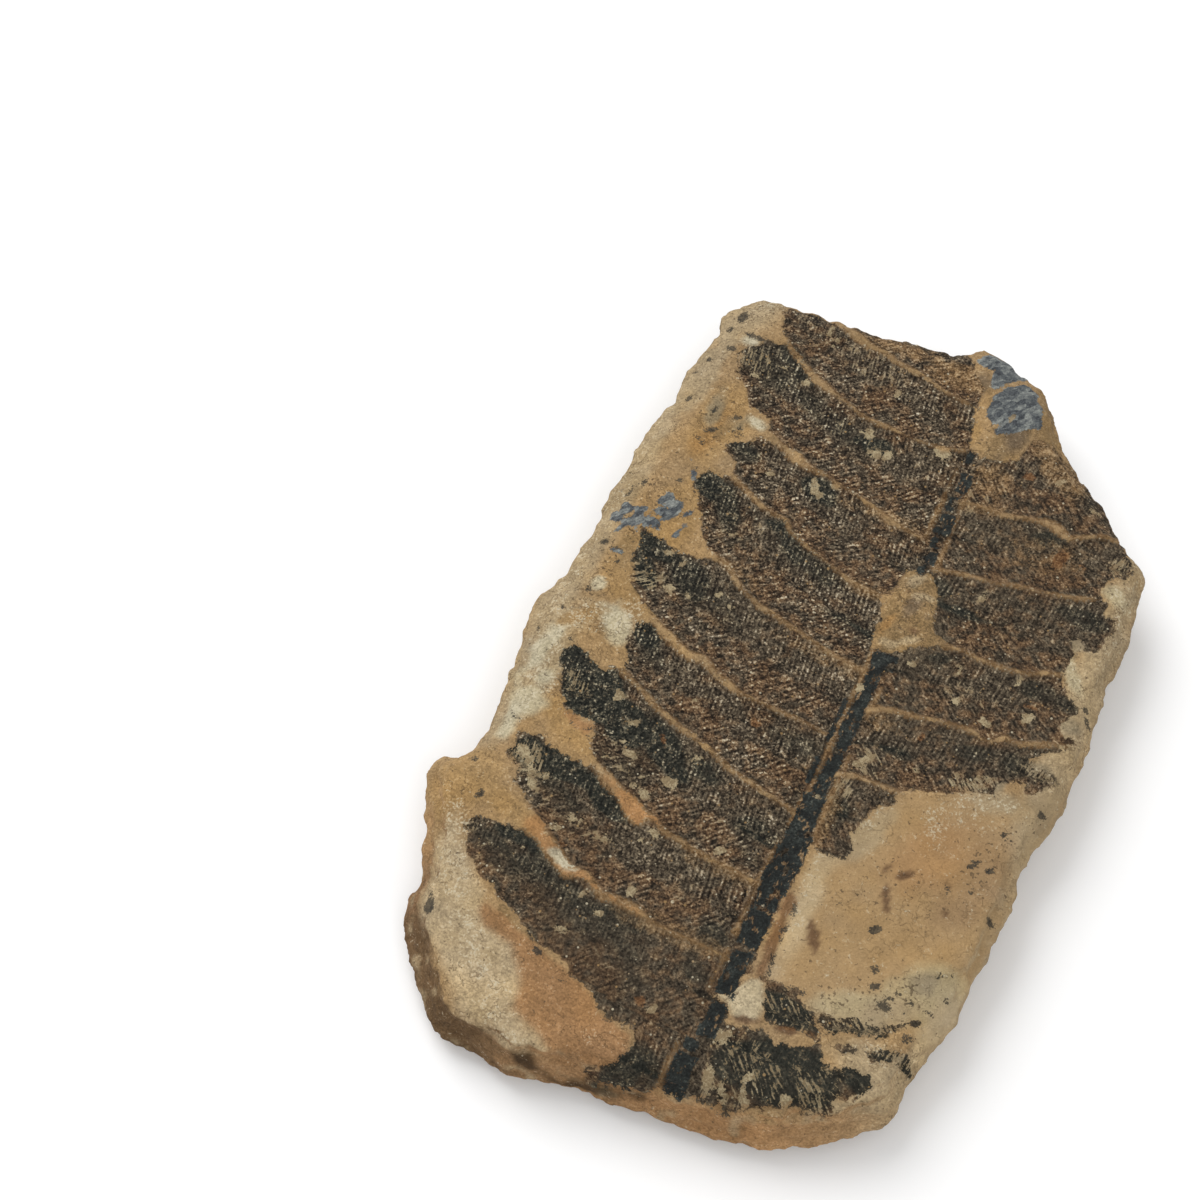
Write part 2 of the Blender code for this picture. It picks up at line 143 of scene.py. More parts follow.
# Bare seams between the leaflets, from the stalk outwards: x, y, half width
LEFT_SEAMS = [
    [(5.5, 54.5, 0.3), (1, 55.3, 0.3), (-3, 56.8, 0.3), (-7, 57.3, 0.4), (-9, 58.2, 0.4),
     (-12, 58.4, 0.6), (-14, 59.2, 0.8), (-16, 60.2, 0.7), (-18.5, 61.3, 0.6)],
    [(8, 46.5, 0.3), (4.5, 45.5, 0.15), (0, 45, 0.15), (-4, 45.4, 0.4), (-7, 45.6, 0.3),
     (-9, 46.1, 0.3), (-11, 47, 0.3), (-13, 47.6, 0.4), (-15, 48.3, 0.7), (-17.5, 49.4, 0.7),
     (-20, 50.9, 0.5), (-22.5, 52.7, 0.5), (-24.5, 54, 0.6)],
    [(8, 29.2, 0.3), (4.5, 29.6, 0.3), (2.5, 29.9, 0.7), (0.5, 30.8, 0.35), (-3, 32, 0.25),
     (-7, 32.7, 0.3), (-9, 33.5, 0.25), (-11, 33.6, 0.4), (-12.5, 33.9, 0.7), (-14, 34.5, 0.9),
     (-16, 35.2, 0.6), (-17.5, 35.7, 0.5), (-19.5, 36.5, 0.9)],
    [(8, 17, 0.15), (4.5, 17.5, 0.3), (1, 18, 0.3), (-2, 19, 0.25), (-6, 20.4, 0.35),
     (-10, 22.1, 0.35), (-11.3, 23.7, 0.35), (-13, 23.8, 0.3), (-15, 24.2, 0.35),
     (-17, 25.1, 0.4), (-20, 26.6, 0.4), (-21.5, 27.5, 0.5)],
    [(8.6, 5.4, 0.3), (6.5, 5.2, 0.3), (3, 5.7, 0.3), (0, 6.4, 0.3), (-3, 7.1, 0.4),
     (-7, 8.2, 0.4), (-9, 8.6, 0.3), (-11.5, 9.6, 0.2), (-13.5, 10.8, 0.3), (-15, 12.2, 0.4),
     (-16, 13.1, 0.5), (-18, 13.4, 0.5), (-20, 13.5, 0.9), (-23, 13.9, 1)],
    [(8.5, -6.3, 0.2), (4, -6, 0.25), (0, -5.8, 0.3), (-5.5, -5.6, 0.3), (-7, -5.3, 0.5),
     (-8.5, -4.7, 0.7), (-10, -4.4, 0.5), (-11.5, -3.5, 0.6), (-13, -2.8, 0.8), (-15, -3.1, 0.7),
     (-17.5, -2.2, 0.8), (-19, -1.5, 0.8), (-21, -0.4, 0.6), (-23.5, 0.4, 0.8)],
    [(8, -19, 0.3), (3.5, -18.1, 0.35), (0, -17.5, 0.4), (-2.5, -17, 0.35), (-6, -15.4, 0.3),
     (-10, -14.3, 0.35), (-14, -13.2, 0.45), (-16, -12.5, 0.35), (-20, -10.4, 0.35),
     (-23, -9, 0.4)],
    [(7.5, -31, 0.35), (3, -30.5, 0.3), (-3, -30, 0.3), (-7, -29.3, 0.4), (-8.5, -28.4, 0.5),
     (-9.5, -28.2, 0.7), (-10.7, -28.7, 1.3), (-12, -28.3, 1.5), (-13.5, -27.3, 1.2),
     (-15, -26.5, 0.8), (-16.5, -25.9, 0.9), (-18, -25, 0.8), (-19.5, -24.3, 0.6),
     (-21.5, -23.5, 0.9), (-24.5, -22.8, 1.6)],
    [(8.5, -42, 0.1), (0, -42.2, 0.15), (-3.5, -41.9, 0.3), (-6, -41.2, 0.6), (-9, -41.1, 0.5),
     (-10.5, -41.4, 0.6), (-12, -40.6, 0.6), (-13.5, -39.7, 0.6), (-14.8, -39.9, 0.8),
     (-16.2, -40.2, 1), (-17.8, -39.2, 1), (-19.5, -38.4, 1.1), (-21, -37.3, 1.2),
     (-23, -36.2, 1.3), (-26, -35.3, 2)],
]
RIGHT_SEAMS = [
    [(10.8, 37.6, 0.15), (14, 38, 0.3), (17, 37.9, 0.3), (21, 39, 0.3), (23.5, 39.4, 0.5),
     (25.5, 39, 0.7), (27.5, 38.2, 0.5), (29, 39.3, 0.3), (31.5, 40.6, 0.3), (34, 41.5, 0.5)],
    [(11.5, 25, 0.5), (13, 25.3, 0.3), (15.5, 26, 0.3), (18.5, 26.3, 0.3), (20.5, 26.5, 0.3),
     (22, 27.1, 0.3), (24, 27.6, 0.35), (27, 28, 0.3), (29, 28.4, 0.3), (31, 29, 0.25),
     (34, 30.2, 0.15)],
    [(14.5, 14, 0.4), (17.5, 13.7, 0.4), (20, 14.2, 0.3), (22.5, 13.8, 0.4), (24, 14, 0.4),
     (27, 14.2, 0.25), (30, 14.8, 0.3), (31.5, 15.8, 0.4), (33.5, 16.4, 0.4)],
    [(10.6, -0.5, 0.5), (12, 0.3, 0.6), (14, 1, 0.4), (18, 1.6, 0.35), (21, 2.3, 0.4),
     (23.5, 2.6, 0.3), (25.5, 2.9, 0.5), (27.5, 2.2, 0.2), (29, 2.8, 0.4), (30, 3.8, 0.5),
     (31.5, 3.6, 0.3), (34, 4.6, 0.4), (37, 5.9, 0.4), (39.5, 6.6, 0.4)],
    [(10.8, -11, 0.5), (14, -10.4, 0.35), (17, -10.4, 0.3), (20.5, -10.2, 0.4), (30, -7, 0.4)],
]

# The outer edge of the film: left side from the tip down, foot, then right side up to the tip
LEFT_EDGE = [
    (3, 64), (-16, 64), (-17.5, 61.5), (-19, 61), (-22, 61.3), (-26, 60.8), (-26.7, 59),
    (-25.8, 57), (-24.5, 54.3), (-23.8, 53.3), (-26.5, 53), (-28, 51.2), (-29.4, 50.2),
    (-29.8, 48.5), (-28.5, 45.2), (-26, 43), (-24.5, 40.6), (-21.2, 39.7), (-20.2, 38.2),
    (-19, 36), (-21.2, 35.5), (-21.2, 34.1), (-22.8, 34), (-24.2, 33), (-24.2, 31.6),
    (-22.4, 30.3), (-21.7, 29), (-21.7, 27.3), (-23.5, 26.8), (-25.2, 27.2), (-26, 25.8),
    (-26.3, 23.4), (-24.3, 22.2), (-23.8, 20.6), (-22.8, 19.6), (-22.2, 17.5), (-21, 15.6),
    (-19.5, 14.3), (-19.8, 12.5), (-22, 12.3), (-23.5, 12.2), (-24.4, 12.6), (-26.5, 12.9),
    (-29.7, 13.4), (-29, 10.4), (-29.5, 9.2), (-28.6, 7), (-27.6, 5), (-26, 3.2), (-23.5, 1.5),
    (-22, 0.3), (-22.5, -0.8), (-24.1, -0.8), (-23.6, -2.6), (-24.3, -4.2), (-23, -6.3),
    (-22.5, -8.4), (-22, -9.6), (-24, -9.4), (-25, -10), (-27.5, -9.6), (-29, -8.5), (-30.2, -8.1),
    (-31.6, -9), (-31, -11.5), (-30, -13.8), (-28.7, -16.2), (-27.2, -18), (-25.5, -18.6),
    (-22.3, -18.2), (-21.8, -20.2), (-21.8, -21.5), (-20, -23.8), (-20.5, -24.7), (-25, -24.6),
    (-27.3, -24.2), (-27.6, -23.2), (-29.2, -23.2), (-30, -24), (-31.7, -23.2), (-31, -25),
    (-31.4, -26.6), (-31, -27.8), (-29.4, -29.4), (-28.8, -30.7), (-26, -32.8), (-25, -33.8),
    (-23, -35), (-22.5, -37.5), (-24, -37.2), (-26.5, -37.6), (-30.2, -37.7), (-32, -39),
    (-31.4, -40.6), (-30, -43), (-26.5, -45.4), (-23.5, -47), (-19.5, -48.5), (-16.5, -50.8),
    (-13.5, -51.3), (-10.6, -51.8), (-10, -52.7), (-6.5, -53.6), (-4.6, -55.5), (-3, -56.4),
    (0.5, -56.1), (1.8, -57.2), (1.7, -59.2), (0.1, -60.8), (-1.2, -61.7), (-2.8, -62.3),
    (-3, -62.9),
]
FOOT_EDGE = [
    (-1.7, -63.2), (0.9, -62.7), (4.6, -61.9), (7, -61.1), (10.2, -60.7), (13.5, -60.2),
    (16.5, -60), (20.5, -58), (24, -56.2), (26.3, -56), (27.6, -55), (28.4, -53), (29.6, -52.4),
    (32, -50.1), (30.8, -48.9), (28.2, -48.5), (27.4, -49.6), (25, -49.8), (24.2, -48.4),
    (23.2, -47.6), (20.5, -49.4), (18, -49.9), (16, -49.2), (13, -50.2), (11.2, -50.2), (11, -47),
    (10.8, -42.6), (13, -42.6), (15, -42.2),
]
RIGHT_EDGE = [
    (18, -42.1), (19.5, -43.9), (21.2, -44.1), (22.2, -45.5), (23.2, -47.2), (18, -47.9),
    (16, -48.1), (15, -46.2), (14.2, -44.6), (13.8, -43), (12, -42.9), (11.2, -40), (11.5, -32),
    (11.8, -28), (11.6, -22.4), (13.2, -22.7), (15.2, -23.1), (17.2, -22.2), (17.2, -20.8),
    (16.2, -18.6), (16.4, -16.8), (17.6, -14), (19.8, -11.4), (19, -10), (22, -9), (26, -7.3),
    (28, -6), (30, -5.6), (31.8, -5.2), (31.2, -3.4), (32.4, -2.2), (34, -1.4), (35.6, -2.6),
    (37.2, -1.3), (39, 1.2), (36.6, 1.7), (34.6, 0.5), (34.4, 2.6), (36.2, 3.8), (37.5, 5.6),
    (39.6, 7), (38.6, 8), (36.6, 7.9), (36, 9.2), (37.2, 10.6), (38.3, 12), (37, 13.6),
    (35.2, 14.2), (34.2, 15.4), (33.8, 17), (34, 19), (34.6, 20.6), (33, 22), (34.2, 23.1),
    (35.6, 21.7), (37, 22.2), (37.6, 24.6), (38.8, 26.6), (37.8, 28.3), (36, 28.6), (35.8, 30.4),
    (34.2, 31.6), (34.6, 33.8), (37, 35.4), (37.4, 38.8), (35.8, 39.5), (34.6, 41.2), (38, 44),
    (28, 54), (24.5, 51.2), (22, 52.2), (20.4, 53.2), (18.2, 53.4), (16.9, 52.6), (16.2, 50.6),
    (16, 48.6), (14.2, 47.1), (11.2, 46.4), (8.6, 47.4), (7.8, 49.5), (8, 51), (7, 53.4),
    (7.2, 58.6), (4.6, 60.6),
]

# Film that is left apart, as streaks at the lower right
ISLAND_EDGES = [
    [(22, -43.7), (24.3, -43.5), (26.1, -42.6), (29.9, -42), (31.8, -40.6), (32.4, -41.2),
     (30.2, -43.5), (28, -44.6), (26.2, -45), (24.9, -46.1), (23.2, -46.2), (22.2, -45.2)],
    [(29.4, -46), (32, -44.4), (34.5, -43.6), (36.8, -45.9), (36, -46.7), (34.3, -45.4),
     (32.2, -46.1), (30.2, -46.8)],
    [(25.2, -46.9), (26.8, -45.8), (28.7, -46.1), (28.4, -47.3), (26.6, -47.8)],
    [(32.6, -40.1), (33.5, -39.3), (34.8, -39), (33.8, -39.9)],
    [(32.4, -33.3), (34, -31.9), (36.8, -30.7), (35.4, -32.1), (33.8, -33.1)],
]

# Stone still on the frond, where it covers the stalk
COVER_EDGE = [
    (8, 23.5), (9.3, 23.9), (10, 23), (11.2, 24.1), (12, 22.8), (13.5, 21), (14.1, 18.5),
    (14.5, 16.5), (15.2, 15), (17.2, 14), (14, 11.5), (12, 10.3), (10.5, 9.7), (8, 9.6),
    (7.3, 12.5), (7.5, 14), (6.4, 16.6), (6, 17.6), (7.4, 18.8), (7.5, 21.5),
]
# Clear stone flakes on the film near the stalk's end
CREAM_EDGE = [
    (8.4, -47.4), (10.2, -46.6), (11, -45), (12, -43.6), (13.2, -43), (14, -44), (15.1, -46.4),
    (15, -48.2), (13.8, -49.2), (12, -49.2), (10.4, -47.7),
]

# A crevice along the face's lower edge: x, y, half width. Its painted shade ends at a height over the
# floor
CREVICE_FOOT = 3.0
CREVICE = [
    (-12.8, -64.5, 0.05), (-11.6, -64.5, 0.35), (-10.4, -64.2, 0.3), (-8.8, -64.4, 0),
    (-5.6, -64.3, 0), (-4.4, -64, 0.35), (-1.7, -63.6, 0.5), (0.9, -63.1, 0.4), (3, -62.5, 0.15),
    (5.5, -62.2, 0),
]

# Where the frond flaked off whole
BARE_EDGE = [
    (12.5, -22.6), (15.2, -23.2), (17.3, -22.2), (16.2, -18.6), (17.6, -14), (19.8, -10.8),
    (26, -7.6), (32, -5.4), (40.5, 0), (45, -20), (40, -42), (34, -41), (27, -43.6), (21, -43.6),
    (18, -42), (13.8, -42.4), (12.6, -36), (12, -28),
]

# Spots, each an ellipse: x, y, half length, half width, and its tilt in degrees if it has one
PALE_SPOTS = [
    (11.6, -51.9, 1.5, 0.7, 25), (12.2, -57.4, 0.7, 1.9, 12), (22.4, -56.2, 0.7, 0.9, -30),
    (14.8, -58.6, 0.5, 1.1, 10), (17, -55.6, 0.5, 0.8, -30), (25, -49.4, 0.7, 0.35, 20),
    (5.3, 44.6, 1.5, 1.2, -20), (-6, 43.2, 1.3, 0.9), (-3.8, 40.4, 1, 0.8), (-2, 40.7, 0.9, 0.9),
    (-9.6, 31, 1.5, 0.8, -55), (-7, 32.2, 0.6, 0.5), (-16.7, 30.5, 0.8, 0.5),
    (-18.5, 58.7, 0.9, 0.5, 90), (-17, 57.4, 1.2, 0.5, 80), (-4.8, 52.3, 0.9, 0.6, 80),
    (-18, 48.2, 0.5, 0.4), (-17.5, 18, 0.6, 0.5), (-16.9, 16.4, 0.5, 0.4), (-12.8, 6.8, 0.6, 0.4),
    (-19, 5.8, 0.5, 0.4), (-22, 6, 0.9, 0.7), (-22.2, 10.3, 0.7, 0.5, 80),
    (-24.3, 11.5, 0.8, 0.6, 60), (-24.6, 5, 0.6, 0.4, 30), (-15, 8, 0.5, 0.4),
    (-11.2, -8.8, 0.4, 0.4), (-21.2, -13, 1.1, 0.7, 90), (-17.5, -16.1, 0.7, 0.5),
    (-17.5, -19.2, 0.6, 0.4), (-7, -17.2, 0.8, 0.6, 60), (-11.5, -25.4, 1.1, 1),
    (-9.2, -22.3, 1.2, 1), (-13.8, -24.9, 0.6, 0.5), (-19, -22.7, 0.5, 0.5),
    (-16, -20.5, 1, 0.5, -20), (-7.9, -30.1, 0.8, 0.6), (-9.5, -31.8, 0.6, 0.4, -30),
    (-14, -33.6, 1.2, 0.5), (-18.8, -32.8, 1.1, 0.7), (-20.5, -35, 0.7, 0.6),
    (-29.3, -26.6, 1.4, 1, -30), (-28, -28, 1.2, 0.7, -40), (-26, -30.6, 1.4, 0.6, -40),
    (-25.2, -28.6, 1, 0.5, 60), (-13.4, -47.8, 0.8, 0.5, 10), (-13, -42.2, 0.6, 0.5),
    (-9.8, -43.7, 0.5, 0.5), (-23.2, -39.6, 0.6, 0.5), (-7.4, -39, 1, 0.8, 60),
    (1, -28.7, 0.8, 0.7, 60), (2, -52.8, 0.6, 0.4, 40), (-2.6, -52.4, 0.5, 0.4),
    (31.8, 8.3, 1.1, 0.9), (26.7, 5, 0.9, 0.7), (21.8, 6.3, 0.7, 0.6), (28.7, 12.8, 0.8, 0.4, 90),
    (20.5, 11.2, 1, 0.5, 90), (13.7, 8.9, 0.6, 0.5), (14.5, 2.7, 0.5, 0.5), (20.8, -6, 0.5, 0.4),
    (14, -7, 1.5, 0.8, 70), (12.6, -8.5, 0.6, 0.5), (29, 44.5, 0.9, 0.5), (23, 47, 1.2, 0.5, 60),
    (19.3, 23.8, 0.8, 0.4, 70), (8.9, 2.8, 0.8, 0.7), (9.2, -15.3, 1.3, 0.3),
    (25.5, -46, 0.6, 0.4), (22.2, -56.2, 1.2, 0.6, -40), (17.5, -58.3, 1.2, 0.6, -50),
    (14.5, -58.5, 1, 0.5, -60), (12.2, -57.5, 1.4, 0.6, -60), (12, -52.6, 1.5, 0.7, 40),
    (27.6, -52.4, 1, 0.4, -40), (-28.6, 51.6, 1.2, 0.7), (-22, 49.4, 0.7, 0.4), (-26, 46, 1, 0.5),
]
RUST_SPOTS = [
    (12.5, 13.9, 0.7, 0.4), (13.2, 17.6, 0.3, 0.2), (9.4, 19.6, 0.4, 0.2, 60),
    (25, -20.9, 1.4, 0.6, 30), (22.4, -21, 0.8, 0.3, 60), (31.8, -23.8, 0.7, 0.4, -60),
    (24.1, -25.7, 2.1, 0.65, -66), (17, -34.1, 2.3, 0.75, -64), (31, -20.4, 1, 0.4, -60),
    (-2, -8.8, 1, 0.9), (-12.7, -16.7, 0.9, 0.4, -40), (27.3, 34.4, 2.2, 1, 80),
    (18.4, 46.1, 0.9, 0.8), (31.3, 9.9, 1, 0.4), (19.5, -0.7, 1, 0.5, 90), (0.2, -52.3, 1, 0.8),
    (-18.2, 4.8, 0.9, 0.4, -30), (9.5, -31.4, 0.9, 0.4, 80), (-18.7, -36.8, 1, 0.6, -20),
    (19, -47.9, 2.4, 0.5, 15), (13.5, -48.9, 1.5, 0.4, 15), (30.5, 34.8, 0.9, 0.6),
]
DARK_SPOTS = [
    (-25.4, -19.7, 1.3, 0.14, -46), (-22.9, -19.6, 0.6, 0.3, 20), (-23.2, -20.3, 1.2, 0.14, -30),
    (10.5, 18.4, 0.7, 0.25, 80), (-32, 55.8, 1.1, 0.8, 70), (-33, 53, 0.6, 0.4, 70),
    (-28.6, 52.7, 1.5, 0.5), (-31.5, 49.4, 0.8, 0.4), (-33.6, 46.2, 0.5, 0.4),
    (-34.7, 43.6, 0.3, 0.3), (-33.5, 38.7, 0.5, 0.3, 70), (-28.9, 37.1, 0.8, 0.4, 80),
    (-25.2, 37.5, 1, 0.5, 20), (-24.1, 36, 0.5, 0.5), (-24, 34.8, 0.8, 0.3),
    (-27.5, 34.2, 1, 0.5, 50), (-29.2, 31.5, 0.4, 0.3), (-27.9, 31.1, 0.5, 0.3),
    (-26.3, 30.8, 0.5, 0.3, 20), (-28.4, 23.4, 0.8, 0.4, 30), (-27.4, 26.5, 0.9, 0.4, -50),
    (-33, 21.4, 0.9, 0.4, 70), (-34.3, 19.6, 1.2, 0.5, 75), (-34, 9.5, 0.7, 0.5),
    (-31.6, 8.6, 1, 0.5, -20), (-32.6, 0.8, 0.5, 0.4), (-34.6, -3.2, 0.5, 0.4),
    (-34.1, -5, 0.5, 0.3, 70), (-31.2, -7.7, 0.5, 0.4), (-36.6, -7.5, 0.3, 0.3),
    (-30.8, 6.8, 0.5, 0.3, 70), (-33, -22, 0.8, 0.3, -30), (-33.6, -29.6, 0.5, 0.3, 70),
    (-35.5, -30.2, 0.7, 0.3), (-32, -34.8, 0.6, 0.4, 80), (-31.6, -51.2, 1.4, 0.7, -60),
    (-14.8, -51.9, 0.9, 0.35, -30), (-10.5, -54.2, 0.8, 0.3), (-26.8, -50.8, 0.4, 0.3),
    (-19, 0, 0.2, 0.2), (13.1, 19, 0.4, 0.4), (30.8, -20.5, 1.1, 0.5, -70),
    (24.1, -30, 0.8, 0.6, 60), (29.1, -39.3, 1, 0.6), (31.9, -39, 0.4, 0.3), (33.6, -39.5, 1, 0.4),
    (33.6, -41.8, 0.8, 0.3, 20), (13.5, -37.4, 3.6, 0.3, 92), (20.6, -44.4, 0.9, 0.35, 30),
    (33.4, -42.6, 0.9, 0.35, 20), (29.6, -38, 0.8, 0.35, 10), (27, -37.2, 0.6, 0.35, 40),
    (31.8, -37.4, 0.6, 0.3, -20), (35, -37.6, 0.5, 0.3), (30.9, -55, 0.9, 0.4, 15),
    (16.5, -42.3, 2.6, 0.35, 3), (36.2, -34.8, 0.3, 0.3), (26.3, -35.2, 0.7, 0.5),
    (30.2, -36.8, 0.6, 0.4), (34.8, -9.7, 0.5, 0.4), (36.2, -10.3, 0.6, 0.3),
    (33, -15, 0.6, 0.4, 60), (35, -15.5, 0.7, 0.4, 60), (32.3, -16.2, 0.5, 0.4),
    (33.8, -19.5, 0.5, 0.4), (38.6, -4.3, 0.6, 0.4), (37.6, -21.9, 0.8, 0.4), (38.6, 13, 0.4, 0.3),
    (39.2, 11.7, 0.8, 0.25, -25), (16, -29.5, 0.4, 0.3), (18.4, -28.7, 0.5, 0.3, 30),
]
MINERAL_EDGES = [
    [(10, 59.9), (11.7, 61.3), (13.1, 61.9), (14.6, 61.2), (14.9, 60), (15.7, 58.6), (16.7, 57.1),
     (17, 55.1), (15.7, 54), (14.3, 52.9), (13.1, 51.7), (11.1, 51), (10, 52.5), (8.5, 54.5),
     (8.6, 57.5)],
    [(3.6, 63), (5.2, 65.8), (8.5, 65.4), (10.4, 64.8), (12.4, 64.4), (11.8, 62.8), (10.4, 61.4),
     (9.2, 59.8), (7.8, 58.6), (7.2, 60.2), (7, 62), (5.4, 62.4)],
    [(-30.2, 18.4), (-28.7, 21.2), (-27.4, 20.2), (-26.2, 20.4), (-25.8, 18.6), (-26.2, 16.7),
     (-27.9, 15.8), (-28.4, 16.9), (-29.9, 16.7), (-28.9, 18)],
    [(-35.4, 14.8), (-34, 15.2), (-34.7, 17.1), (-32.8, 16.4), (-30.4, 17.4), (-31, 15.6),
     (-29.6, 15), (-30.7, 13.9), (-30.3, 12.4), (-31.8, 12.8), (-33.7, 11), (-32.9, 13.2),
     (-34.8, 13.4)],
    [(-29.9, 15.9), (-28, 15.8), (-27.6, 14.3), (-29, 14.5), (-30.1, 13.7)],
]
# Sand that fills hollows of the mineral
MINERAL_GAPS = [
    (12.4, 54.6, 0.7, 0.5, 70), (11, 52.6, 0.6, 0.3, 40), (-32.6, 15, 0.5, 0.2, 60),
    (-28, 18.2, 0.6, 0.2, -40),
]
MINERAL_SPOTS = [
    (-24.7, 15.6, 1.4, 0.45, 70), (-26.9, 25.4, 1.5, 0.4, -58), (-31.6, 8.4, 0.8, 0.4),
    (-35.4, 19.4, 0.6, 0.4, 60), (-24.8, 18.6, 0.7, 0.3, 60),
]

# Tints of the bare stone, red, green and blue from 0 to 255
TAN = (166, 137, 98)
WARM_TAN = (168, 136, 91)
BEIGE = (174, 153, 119)
WHITISH = (192, 170, 134)
CREAM = (190, 172, 138)
GREY_TAN = (150, 135, 108)
BROWN_TAN = (147, 121, 84)
DULL_BROWN = (118, 100, 78)
ORANGE = (168, 126, 82)
BRIGHT_ORANGE = (178, 134, 89)
SCAR_TINT = (160, 122, 83)
CHALK = (196, 184, 154)
OCHRE = (160, 124, 78)
CHALKY_TAN = (180, 166, 134)
STRIP_BROWN = (128, 96, 66)
RUST = (106, 80, 58)
GREENISH = (182, 164, 127)
SIDE_BROWN = (112, 88, 62)
SIDE_ORANGE = (172, 132, 90)
BARE_TAN = (172, 142, 101)
BARE_WARM = (172, 136, 94)
BARE_BROWN = (158, 129, 93)

# Tints laid over the tan stone in this order: tint, x, y, half length, half width, tilt, softness
STONE_PATCHES = [
    (BEIGE, -36.5, 20, 45, 3.4, 91, 2.5), (BEIGE, -33, 57, 8, 5, 60, 3),
    (WARM_TAN, -27, 35.5, 8, 3.6, 88, 2.5), (WARM_TAN, -26, 18, 9, 3.5, 80, 2.5),
    (WARM_TAN, -28, 4, 6, 3, -40, 2), (BEIGE, -33, 45, 9, 2, 88, 1.5),
    (GREY_TAN, -25.6, 36.4, 1.5, 1.2, 0, 1), (BEIGE, -33, -14, 12, 2.5, 84, 2),
    (WARM_TAN, -26.5, -20, 5.5, 2, -30, 1.5), (WARM_TAN, -35, -33.5, 6, 4.5, 60, 2.5),
    (WARM_TAN, -27.5, -35, 5, 1.6, -20, 1.2), (ORANGE, -12, -27.8, 4.5, 1.8, -25, 1.2),
    (ORANGE, -14.5, -40.3, 7, 1.4, -12, 1.2), (ORANGE, -21.5, -36.8, 3, 1.4, -30, 1),
    (BEIGE, 38, 12, 34, 3, 90, 2.5), (CHALKY_TAN, 36.5, 32, 2, 1.4, -40, 1.2),
    (CHALKY_TAN, 35.2, 17.2, 3, 1.1, -52, 1), (BEIGE, 33, -5.6, 4, 1.6, 12, 1.5),
    (BARE_BROWN, 33.5, -18, 8, 4, 80, 3), (WHITISH, 14.5, -30, 10.5, 1.7, 90, 2.4),
    (BEIGE, 18, -18, 5, 2, 70, 1.5), (GREENISH, 34.5, -35, 6, 4, 30, 2.5),
    (GREENISH, 26, -41, 5, 2.5, 20, 2), (GREY_TAN, 32.8, -34.4, 2.2, 1.4, 40, 1.2),
    (GREY_TAN, 12.4, 54.6, 1.4, 1.2, 0, 1), (BEIGE, 37, -45, 14, 2.5, 80, 2),
    (WHITISH, 36.8, -41, 8, 2.2, 84, 2), (WHITISH, 33.5, -49.5, 5.5, 2.2, 50, 2),
    (BEIGE, 30, -40, 4, 2, 30, 2), (GREY_TAN, 30, -3.8, 2.6, 1.5, 20, 1),
    (GREY_TAN, 34.4, 22.2, 1.6, 1.1, 0, 0.8), (GREY_TAN, 37.3, 9.3, 1.8, 1.3, 0, 0.8),
    (GREY_TAN, 36, 0.6, 2.5, 2, 0, 1.2), (BEIGE, 31, -47, 6, 2.5, 10, 2),
    (BEIGE, 31, -54, 5, 2, 25, 1.5), (WARM_TAN, 12.5, 47.8, 4, 1.2, 0, 1),
    (BARE_WARM, 27, -17, 7, 4, 60, 4), (SCAR_TINT, -24, -19.2, 2.4, 1, -10, 0.4),
    (BROWN_TAN, 12.6, 49.8, 4, 2.6, 60, 2.2), (DULL_BROWN, 14, 50.8, 2.4, 1.1, 75, 1.8),
    (BROWN_TAN, 17.5, 57, 5, 1.6, -60, 1.2), (STRIP_BROWN, 12.6, -36.6, 6, 0.9, 92, 0.4),
    (CHALK, -26, -2.8, 3.4, 2, -62, 1), (CHALK, -28.2, -1.4, 1.6, 1.2, 0, 1),
    (CHALK, -33.6, -10, 3.6, 0.9, 84, 1), (CHALK, -31.8, -14.4, 2.6, 1.1, 60, 1.2),
    (CHALK, -32.4, -19, 2.4, 2.6, 0, 1.6), (CHALK, -33.2, -23.4, 2.4, 1, 90, 1.2),
    (CHALK, -34.6, -11, 5, 1.3, 82, 1.2), (CHALK, -22.8, 38.3, 1.7, 0.8, -20, 0.8),
    (CHALK, -17.4, -39, 1.5, 0.7, -10, 0.5), (CHALK, -29, 51.6, 1.4, 0.9, 0, 1),
    (BRIGHT_ORANGE, -11.6, -28.3, 3.2, 1.1, -25, 0.9), (OCHRE, -27.6, 33.5, 5, 1.6, 80, 1.5),
    (GREY_TAN, -28.6, 36.5, 3.4, 1.1, 95, 1.2), (BROWN_TAN, -26.2, 35, 2.6, 1, 70, 0.9),
    (BROWN_TAN, -30.5, 9, 3, 1, 100, 1), (WARM_TAN, -31.5, -3.5, 3, 1, 40, 1),
    (BROWN_TAN, -19.5, -50.6, 5, 1.4, -20, 1.2), (BROWN_TAN, -13.5, -53.5, 4, 1.4, -35, 1.2),
    (DULL_BROWN, 5.5, 57.5, 4, 1.8, 70, 1.5), (WARM_TAN, 8.3, 49, 2.5, 1.2, 90, 0.8),
    (BROWN_TAN, 11.5, 16.5, 8.5, 4.6, 100, 1.5), (CHALK, -31.8, 2.3, 1.1, 0.8, 40, 0.4),
    (DULL_BROWN, 10.8, 17.5, 2, 0.9, 80, 0.8), (BEIGE, 9.6, 21.6, 1.4, 0.6, 50, 0.5),
    (BEIGE, 12.4, 12.2, 1.6, 0.6, 30, 0.5), (OCHRE, 8.8, 14.4, 1.8, 0.6, 80, 0.6),
    (BEIGE, 12.2, 19.8, 1, 0.4, 10, 0.4), (DULL_BROWN, 13.4, 16.6, 0.8, 0.5, 0, 0.5),
    (BEIGE, 10, 10.8, 0.9, 0.5, 0, 0.5),
]
